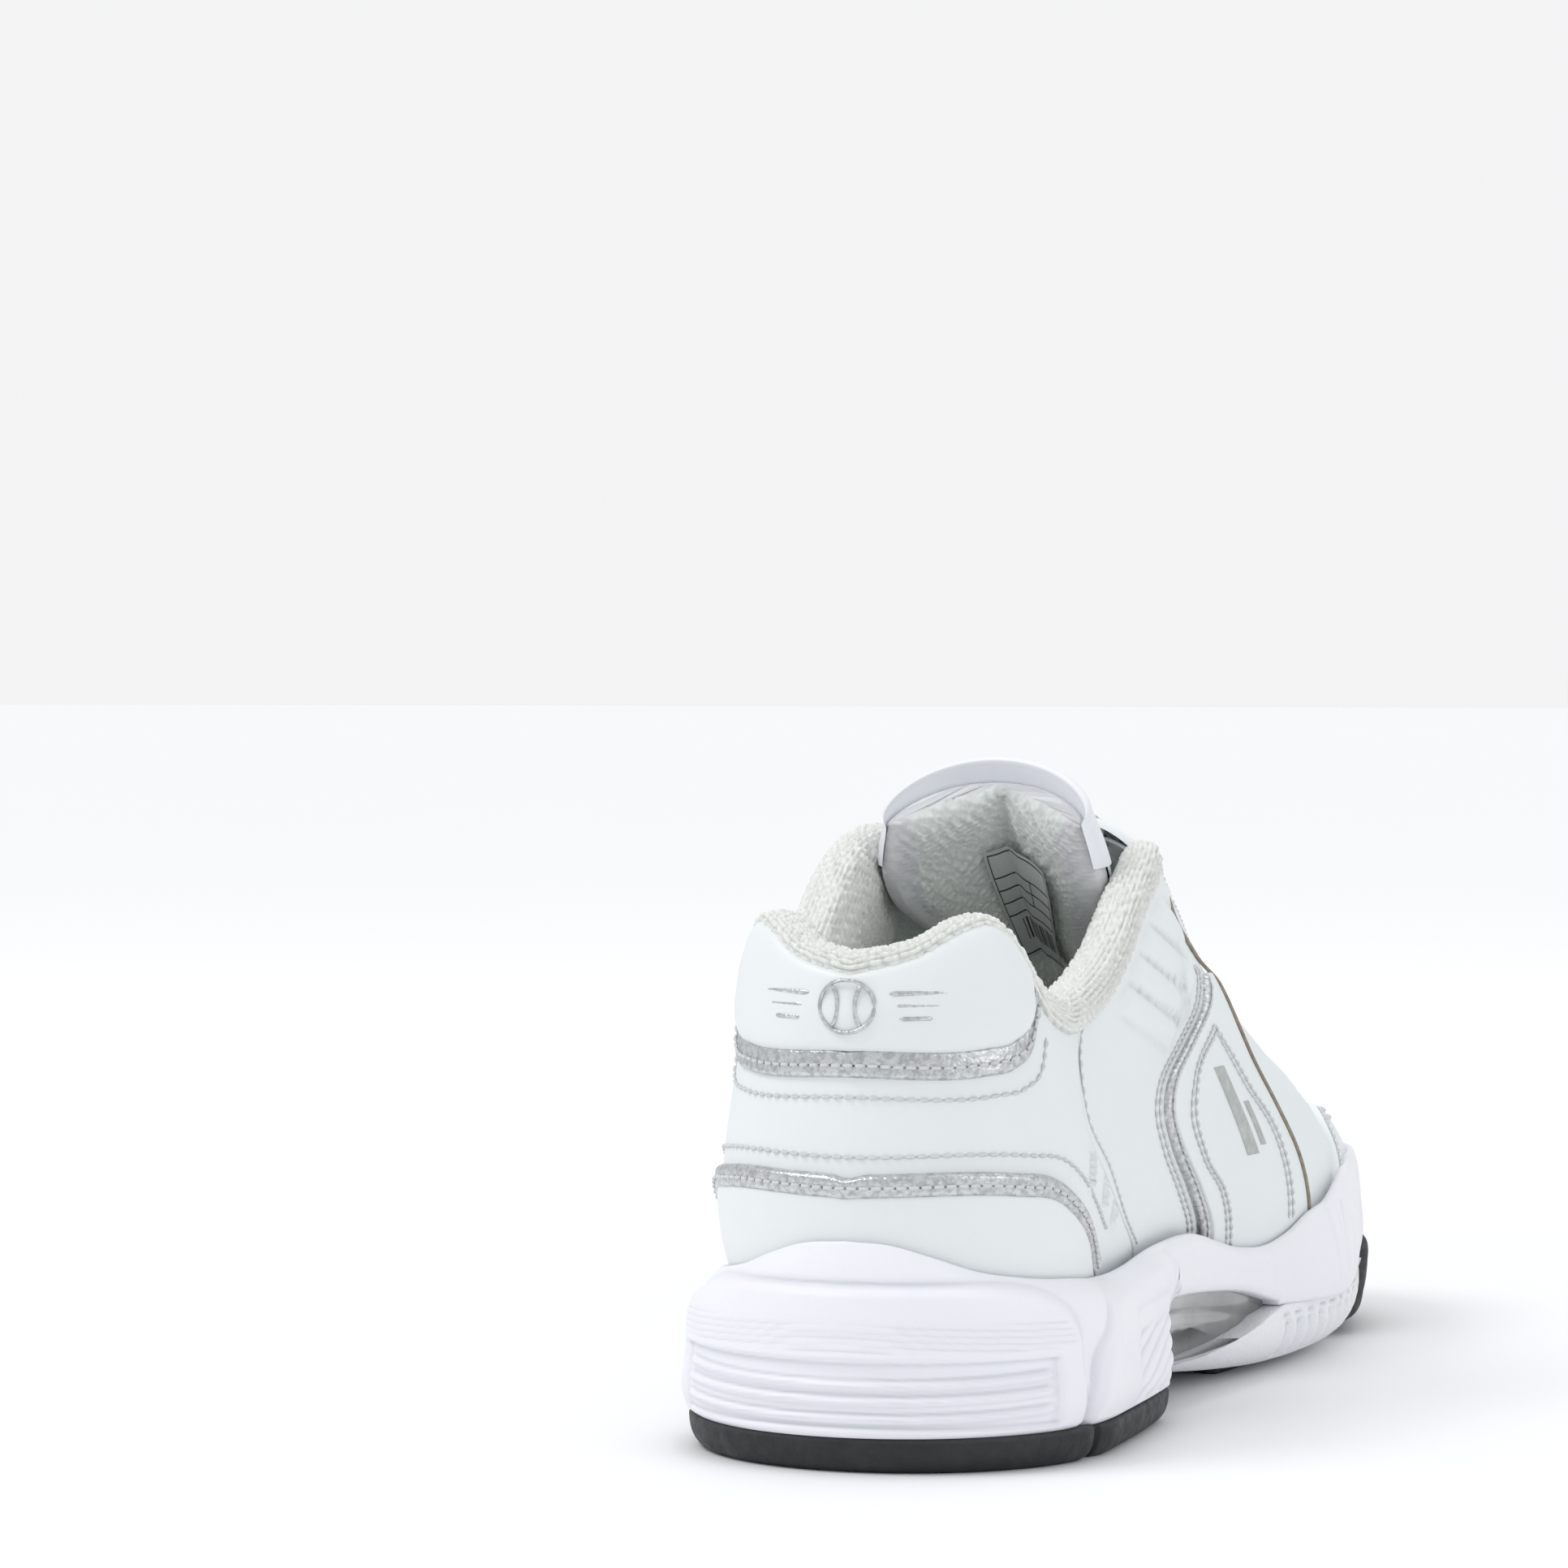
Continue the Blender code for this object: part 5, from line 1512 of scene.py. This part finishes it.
# share round the padded collar, depth inward as a share of the pad, height above the seam as a
# share of the lip's rise, extra height in millimetres
COLLAR_FORM = np.array([
    (0.00, 0.12, 0.00, -0.6), (0.05, 0.00, 0.10, 0.0), (0.12, -0.01, 0.45, 0.3),
    (0.20, 0.12, 0.90, 0.2), (0.30, 0.45, 1.00, 0.3), (0.40, 0.80, 0.90, -0.2),
    (0.50, 1.02, 0.30, -1.6), (0.64, 1.06, 0.0, -8.0), (0.80, 0.95, 0.0, -16.0),
    (1.00, 0.55, 0.0, -25.0)])


def collar_surface(s, share):
    """The padded collar's knit from its seam over the lip and down inside; its ends round shut."""
    form = smooth(share, COLLAR_FORM[:, 0], COLLAR_FORM[:, 1:])
    depth = collar_pad(np.abs(s)) * form[..., 0]
    z = collar_seam(s) + lip_rise_at(np.abs(s)) * form[..., 1] + form[..., 2]
    middle = beside(s, 0.45 * collar_pad(np.abs(s)), collar_seam(s) - 3.0)
    past = np.clip((np.abs(s) - COLLAR_REACH + 5.0) / 5.0, 0.0, 1.0)
    shut = (1 - np.sqrt(1 - past**2)) * (1 - step(0.55, 0.85, share))
    return beside(s, depth, z) + (middle - beside(s, depth, z)) * shut[..., None]


LINING_ROWS = 14             # rows of the collar's cloth from the pad down to the footbed


def build_collar():
    """Padded knit collar: swollen between its seams by cloth, with its loops in the mesh."""
    count = 520
    s = np.linspace(-COLLAR_REACH, COLLAR_REACH, count)[None, :]
    share = np.linspace(0.0, 1.0, 112)[:, None]
    s, share = np.broadcast_arrays(s, share)
    form = collar_surface(s, share)
    form = form + collar_swell(form.shape)
    w = path_length(form)
    fade = step(0.0, 0.03, share)
    relief = loops(s, w)
    points = form + face_normals(form) * (0.85 * relief * fade)[..., None]
    foot_z = profile(s[:1], 0.0 * s[:1])[1] + 4.0
    down = [beside(s[:1], 3.6 + 0.3 * (1 - t), points[-1, :, 2] * (1 - t) + foot_z * t)
            for t in np.linspace(0.08, 1.0, LINING_ROWS)]
    points = np.concatenate([points] + down)
    # the loops' relief, which paints shade into the knit's hollows; the lining rows take a middle
    # value
    tone = np.concatenate([relief, np.full((LINING_ROWS, count), 0.5)])
    piece = grid("collar", points, KNIT, uv=(s[:1] + 0 * points[..., 0], path_length(points)),
                 tone=tone)
    attach(piece, "rearfoot", ("collar_lining", "collar_padding"))


SWELL_ROWS = 16


def collar_swell(shape):
    """How far cloth pressure moves the collar, drawn out to the collar's fine grid."""
    s = np.linspace(-COLLAR_REACH, COLLAR_REACH, 84)[None, :]
    share = np.linspace(0.0, 1.0, SWELL_ROWS)[:, None]
    s, share = np.broadcast_arrays(s, share)
    face = collar_surface(s, share)
    back = beside(s[:1], 3.4 + 0 * s[:1], collar_seam(s[:1]) - np.array([[18.0], [9.0], [4.0]]))
    points = np.concatenate([face, back])
    sewn = np.zeros(points.shape[:2], bool)
    sewn[0] = sewn[SWELL_ROWS - 1:] = True
    sewn[:, [0, -1]] = True
    return stretched(inflate(points, sewn, 2.0)[:SWELL_ROWS], *shape[:2])


# ---------------------------------------------------------------- tongue

tongue_y = curve((0.0, 128.0), (0.25, 106.0), (0.55, 82.0), (0.77, 69.0), (1.0, 58.0))
tongue_z = curve((0.0, 70.0), (0.25, 82.0), (0.55, 98.0), (0.77, 109.0), (1.0, 120.6))
tongue_radius = curve((0.0, 21.0), (0.5, 23.5), (0.8, 26.5), (1.0, 27.0))
tongue_spread = curve((0.0, 40.0), (0.3, 52.0), (0.6, 62.0), (0.85, 70.0), (1.0, 58.0))


TONGUE_MIDDLE = 4.2          # depth of the padding's side edges
TONGUE_FACE = 3.9            # how far the outer face stands out of them
TONGUE_CREASE = 0.08         # where the crease of the padding runs, across -1..1
TONGUE_FACE_EDGE = 0.86      # where the outer leather ends, across -1..1


def tongue_point(share, across, depth):
    """Points of the arched tongue: share up its length, across -1..1, depth inward."""
    share, across = both(share, across)
    h = 0.01
    held = np.clip(share, h, 1 - h)
    rise = np.stack([0 * held, tongue_y(held + h) - tongue_y(held - h),
                     tongue_z(held + h) - tongue_z(held - h)], axis=-1)
    rise = unit(rise)
    normal = np.stack([0 * share, rise[..., 2], -rise[..., 1]], axis=-1)
    angle = np.radians(tongue_spread(share)) * across
    radius = tongue_radius(share)
    r = radius - depth
    over = np.maximum(share - 1.0, 0.0) * 76.0
    middle = np.stack([0 * share, tongue_y(share), tongue_z(share)], axis=-1)
    middle = middle + rise * over[..., None]
    bowed = normal * (r * np.cos(angle) - radius)[..., None]
    return middle + bowed + np.stack([r * np.sin(angle), 0 * r, 0 * r], axis=-1)


def tongue_lobes(x):
    """Swell of the padding either side of its middle crease."""
    return 2.8 * np.abs(np.sin(np.clip(x, -1, 1) * math.pi / 1.7)) ** 0.7 - 1.8 * bump(x, 0.10)


def tongue_edge(across):
    """1 over the tongue's face, falling to 0 round its side edges."""
    return np.sqrt(np.clip(1 - np.abs(across) ** 5, 0, 1))


def tongue_across(turn):
    """Place across the tongue, -1..1, at a share of the way round it."""
    return np.where(turn < 0.5, 4 * turn - 1, 3 - 4 * turn)


def tongue_section(share, turn):
    """The padded tongue: turn 0..0.5 crosses its outer face, 0.5..1 comes back inside."""
    share, turn = both(share, turn)
    across = tongue_across(turn)
    edge = tongue_edge(across)
    x = across - TONGUE_CREASE
    lobes = tongue_lobes(x) * step(0.15, 0.6, share)
    top = np.sqrt(np.clip(1 - np.clip((share - 0.90) / 0.115, 0, 1) ** 2, 0, 1))
    pad = (5.4 + lobes) * (0.55 + 0.45 * step(0.0, 0.2, share))
    depth = TONGUE_MIDDLE + np.where(turn < 0.5, -TONGUE_FACE, pad - 0.6) * edge * top
    return tongue_point(share, across * (1.0 - 0.04 * edge), depth)


def build_tongue():
    """The tongue's padding, terry inside and mesh round its rim."""
    rows, columns = 190, 240
    share = np.linspace(0.0, 1.012, rows)[:, None]
    turn = (np.arange(columns) / columns)[None, :]
    share, turn = np.broadcast_arrays(share, turn)
    form = tongue_section(share, turn)
    form = form + tongue_swell(form.shape)
    around_it = path_length(np.swapaxes(form, 0, 1)).T
    w = path_length(form)
    relief = loops(around_it, w)
    inside = band(turn, (0.47, 0.52), (0.98, 1.0))
    out = face_normals(form)
    closed = 0.12 + 0.88 * inside
    points = form + out * (0.8 * relief * closed)[..., None]
    # the loops' relief also paints shade into the hollows of the terry and the mesh
    piece = grid("tongue_pad", points, TERRY, uv=(around_it, w), tone=relief, round_columns=True)
    piece.data.materials.append(MESH_RIM)
    rim = (turn < 0.5) | (np.abs(tongue_across(turn)) > TONGUE_FACE_EDGE)
    rim = rim.ravel()
    for face in piece.data.polygons:
        face.material_index = int(rim[face.vertices[0]])
    close_ends(piece)
    attach(piece, "tongue", ("tongue_padding", "tongue_lining"))


def build_tongue_face():
    """The tongue's outer leather, a thin sheet with rounded edges."""
    tall, wide = 73.0, 44.0
    along = rimmed_places(0.9, wide)[None, :]
    up = rimmed_places(0.9, tall)[:, None]
    distance = np.minimum(np.minimum(along, wide - along), np.minimum(up, tall - up))
    across = -TONGUE_FACE_EDGE + 2 * TONGUE_FACE_EDGE * along / wide
    depth = rounded(distance, 0.5, 0.0, 1.0) - 0.35 + TONGUE_FACE * (1 - tongue_edge(across))
    points = tongue_point(0.985 * up / tall, across, depth)
    face = grid("tongue_face", points, LEATHER, uv=(along + 0 * up, up + 0 * along))
    attach(face, "tongue", ("tongue_face",))


def build_tongue_tab():
    """Smooth tab folded over the tongue's top edge and round its sides."""
    across = np.linspace(-1.02, 1.02, 80)[None, :]
    t = np.linspace(0.0, 1.0, 46)[:, None]
    turn = np.clip((t - 0.55) / 0.45, 0, 1) * math.pi
    low = 0.74 + 0.15 * across**2
    share = low + (1.04 - low) * np.clip(t / 0.55, 0, 1) + 0.020 * np.sin(turn) \
        - 0.055 * np.clip((t - 0.80) / 0.2, 0, 1)
    inside = (1 - np.cos(turn)) / 2
    aside = 1 - tongue_edge(across)
    depth = (-1.1 + 5.3 * aside) * (1 - inside) + (2.3 + 1.9 * aside) * inside
    droop = 0.035 * across**2 * step(0.3, 0.6, t)
    points = tongue_point(share - droop, across, depth)
    piece = grid("tongue_tab", points, TAB, uv=(across * 22 + 0 * t, t * 40 + 0 * across))
    attach(piece, "tongue", ("tongue_tab",))


def build_size_label():
    """Satin label inside the tongue, printed with a plain frame, rules and bars."""
    label = (0.46, 0.86), (-0.16, 0.66)
    depth = 10.1

    def spot(u, v, lift=0.0):
        """Point of the label at shares of its width and height, lifted off it."""
        share = label[0][0] + (label[0][1] - label[0][0]) * v
        across = label[1][1] + (label[1][0] - label[1][1]) * u
        x = across - TONGUE_CREASE
        lobes = tongue_lobes(x) + 1.3 * bump(x, 0.12)
        return tongue_point(share, across, depth + lobes * step(0.15, 0.6, share) + lift)

    u = np.linspace(0, 1, 26)[None, :]
    v = np.linspace(0, 1, 40)[:, None]
    piece = grid("size_label", spot(u, v), LABEL, uv=(u * 20 + 0 * v, v * 32 + 0 * u))
    attach(piece, "tongue", ("size_label",))
    strips = [(0.04, 0.96, v0, v0 + 0.012) for v0 in (0.03, 0.40, 0.52, 0.64, 0.76, 0.96)]
    strips += [(u0, u0 + 0.012, 0.03, 0.97) for u0 in (0.04, 0.95)]
    strips += [(0.46, 0.472, 0.52, 0.76)]
    left = 0.12
    for width in (1, 2, 1, 3, 1, 1, 2, 3, 1, 2, 1, 1, 3, 2, 1):
        strips.append((left, left + 0.011 * width, 0.15, 0.35))
        left += 0.011 * width + 0.028
    parts = []
    for u0, u1, v0, v1 in strips:
        us = np.linspace(u0, u1, max(2, round((u1 - u0) * 24)))[None, :]
        vs = np.linspace(v0, v1, max(2, round((v1 - v0) * 36)))[:, None]
        patch = spot(us, vs, 0.09)
        parts.append((patch.reshape(-1, 3), grid_faces(*patch.shape[:2])))
    points, faces = join(parts)
    attach(new_mesh("size_label_print", points, faces, INK), "tongue", ())


TONGUE_SEAMS = [0, 7, 14, 20, 21, 22]    # of the swelling's columns, those that stay put


def tongue_swell(shape):
    """How far cloth pressure moves the tongue pad, drawn out to its fine grid."""
    share = np.linspace(0.0, 1.0, 20)[:, None]
    turn = (np.arange(28) / 28)[None, :]
    share, turn = np.broadcast_arrays(share, turn)
    form = tongue_section(share, turn)
    sewn = np.zeros(form.shape[:2], bool)
    sewn[0] = True
    sewn[:, TONGUE_SEAMS] = True
    moved = inflate(np.swapaxes(form, 0, 1), sewn.T, 1.6)
    moved = np.swapaxes(moved, 0, 1)
    return stretched(np.concatenate([moved, moved[:, :1]], axis=1), shape[0], shape[1] + 1)[:, :-1]


# ---------------------------------------------------------------- laces

LACE_ROWS = 7
LACE_START, LACE_END = THROAT - 9.0, COLLAR_FRONT + 7.5
LACE_STEPS, LACE_SIDES = 30, 16


def eyelet(side, row):
    """Centre and normal of an eyelet; rows count up from the toe."""
    a = LACE_START + (LACE_END - LACE_START) * row / (LACE_ROWS - 1)
    s = side * a
    lv = level_beside_ridge(s, throat_half_width(a) + 3.6)
    return on_upper(s, lv, 1.7), last_normal(s, lv)


def lace_part(start, end, lift, width=5.2, thick=1.5):
    """A flat braided lace bowed from one eyelet to another."""
    (a, up_a), (b, up_b) = start, end
    t = np.linspace(0, 1, LACE_STEPS)[:, None]
    bow = lift * np.sin(t * math.pi) ** 0.6
    up = unit(up_a * (1 - t) + up_b * t + np.array([0.0, 0.35, 0.6]) * np.sin(t * math.pi))
    line = a * (1 - t) + b * t + up * bow
    dive = 1.7 * (bump(t, 0.05) + bump(t - 1, 0.05))
    line = line - up * dive
    heading = unit(np.gradient(line, axis=0))
    across = unit(np.cross(up, heading))
    turn = np.linspace(0, 2 * math.pi, LACE_SIDES + 1)[:-1]
    narrow = 1 - 0.35 * (bump(t, 0.07) + bump(t - 1, 0.07))
    flat_x = np.sign(np.cos(turn)) * np.abs(np.cos(turn)) ** 0.7
    flat_y = np.sign(np.sin(turn)) * np.abs(np.sin(turn)) ** 0.8
    ring = (across[:, None] * (0.5 * width * flat_x)[None, :, None] * narrow[:, None]
            + up[:, None] * (0.5 * thick * flat_y)[None, :, None])
    faces = grid_faces(LACE_STEPS, LACE_SIDES, round_columns=True)
    return (line[:, None] + ring).reshape(-1, 3), faces


def build_laces():
    """Criss-cross lacing over the tongue, a straight bar at the toe end, and its eyelets."""
    parts, rings = [], []
    for row in range(LACE_ROWS - 1):
        parts.append(lace_part(eyelet(1, row), eyelet(-1, row + 1), 4.4))
        parts.append(lace_part(eyelet(-1, row), eyelet(1, row + 1), 5.9))
    parts.append(lace_part(eyelet(1, 0), eyelet(-1, 0), 3.6))
    parts.append(lace_part(eyelet(1, LACE_ROWS - 1), eyelet(-1, LACE_ROWS - 1), 4.6))
    points, faces = join(parts)
    count = len(parts)
    along = np.tile(np.repeat(np.arange(LACE_STEPS) * 1.3, LACE_SIDES), count)
    round_it = np.tile(np.tile(np.arange(LACE_SIDES) * 0.7, LACE_STEPS), count)
    piece = new_mesh("lace", points, faces, LACING, np.column_stack([along, round_it]))
    close_ends(piece)
    attach(piece, "rearfoot", ("lace",))
    turn = np.linspace(0, 2 * math.pi, 20)
    for row in range(LACE_ROWS):
        for side in (1, -1):
            middle, up = eyelet(side, row)
            flat = unit(np.cross(up, (0.0, 1.0, 0.0)))
            other = np.cross(up, flat)
            ring = middle + 2.3 * (np.cos(turn)[:, None] * flat + np.sin(turn)[:, None] * other)
            rings.append((ring - up * 0.05, np.tile(up, (len(turn), 1))))
    cord("eyelet_rings", rings, LEATHER, "rearfoot", 0.45, 0.8)


def build_linings():
    """Cloth inside the vamp."""
    start = COLLAR_FRONT + 1.0
    s = np.linspace(start, 2 * TOE_END - start, 300)[None, :]
    share = np.linspace(0.0, 1.0, 50)[:, None]
    lv = share * (upper_edge(s) - 0.02)
    points = on_upper(s, lv, -3.4 + 0 * lv)
    piece = grid("vamp_lining", points, LINING, uv=(s + 0 * share, path_length(points)))
    attach(piece, FLEX, ("vamp_lining",))


# ---------------------------------------------------------------- floor, light and camera

def show_pale_backdrop(tree):
    """The camera sees a pale backdrop; everything else is lit by the dimmer studio."""
    path = tree.nodes.new("ShaderNodeLightPath")
    backdrop = tree.nodes.new("ShaderNodeBackground")
    backdrop.inputs["Color"].default_value = (0.90, 0.90, 0.91, 1.0)
    mix = tree.nodes.new("ShaderNodeMixShader")
    tree.links.new(path.outputs["Is Camera Ray"], mix.inputs[0])
    tree.links.new(tree.nodes["Background"].outputs[0], mix.inputs[1])
    tree.links.new(backdrop.outputs[0], mix.inputs[2])
    tree.links.new(mix.outputs[0], tree.nodes["World Output"].inputs["Surface"])


def build_floor():
    """Pale floor that brightens towards the backdrop, for the camera only."""
    paint = Paint("pale_floor", (0.93, 0.93, 0.935), 0.7)
    paint.tint(paint.ramp(paint.noise(220.0), 0.3, 0.8, 0.0, 0.3), (0.90, 0.90, 0.91))
    paint.relief(paint.noise(1.5, 3.0), 0.05, 0.3)
    far = paint.add("VectorMath", operation="LENGTH", i0=paint.place).outputs["Value"]
    glow = paint.ramp(far, 250 * MM, 1300 * MM, 0.0, 0.25)
    seen = paint.add("LightPath").outputs["Is Camera Ray"]
    paint.set(paint.shader, "Emission Color", (1.0, 1.0, 1.0))
    paint.set(paint.shader, "Emission Strength", paint.math("MULTIPLY", glow, seen))
    size = 20000.0
    corners = [(-size, -size, 0), (size, -size, 0), (size, size, 0), (-size, size, 0)]
    floor = new_mesh("floor", np.array(corners) - (0, 0, 0.05), [(0, 1, 2, 3)], paint.done())


# name, place, power and size of each soft light
LIGHTS = (("key", (-600, -400, 1000), 4.6, 500), ("fill", (900, -200, 500), 1.2, 600),
          ("top", (0, 400, 1100), 2.2, 900))


def build_lights():
    """A pale studio and soft lights from above and the sides."""
    world = bpy.data.worlds.new("studio")
    world.use_nodes = True
    world.node_tree.nodes["Background"].inputs["Color"].default_value = (0.96, 0.98, 1.0, 1.0)
    world.node_tree.nodes["Background"].inputs["Strength"].default_value = 0.76
    show_pale_backdrop(world.node_tree)
    bpy.context.scene.world = world
    target = Vector((0.0, 60.0, 60.0)) * MM
    for name, place, power, size in LIGHTS:
        light = bpy.data.lights.new(name, "AREA")
        light.energy = power
        light.size = size * MM
        lamp = bpy.data.objects.new(name, light)
        lamp.location = Vector(place) * MM
        lamp.rotation_euler = (target - lamp.location).to_track_quat("-Z", "Y").to_euler()
        bpy.context.scene.collection.objects.link(lamp)


LENS = 118.2
VIEWPOINT = (285.6, -891.5, 140.0)
VIEW_TURN, VIEW_TILT = 19.152, 1.230    # degrees to the left and down


def place_camera():
    """The photograph's viewpoint, behind the shoe and a little to its outer side."""
    camera = bpy.data.cameras.new("camera")
    camera.sensor_width = 36.0
    camera.lens = LENS
    camera.clip_start, camera.clip_end = 10 * MM, 60000 * MM
    viewer = bpy.data.objects.new("camera", camera)
    viewer.location = Vector(VIEWPOINT) * MM
    turn, tilt = math.radians(VIEW_TURN), math.radians(VIEW_TILT)
    ahead = Vector((-math.sin(turn) * math.cos(tilt), math.cos(turn) * math.cos(tilt),
                    -math.sin(tilt)))
    viewer.rotation_euler = ahead.to_track_quat("-Z", "Y").to_euler()
    bpy.context.scene.collection.objects.link(viewer)
    bpy.context.scene.camera = viewer
    bpy.context.scene.view_settings.view_transform = "Standard"


def build():
    """Makes every piece, from the ground up."""
    build_midsole()
    build_heel_tread()
    build_forefoot_rubber()
    build_forefoot_tread()
    build_shank()
    build_footbed()
    build_base_leather()
    build_heel_overlays()
    build_side_overlays()
    build_eyestays()
    build_throat_bar()
    build_toe()
    build_stitching()
    build_crest()
    build_cut_edges()
    build_vents()
    build_linings()
    build_collar()
    build_tongue()
    build_tongue_face()
    build_tongue_tab()
    build_size_label()
    build_laces()
    build_floor()
    build_lights()
    place_camera()


build()
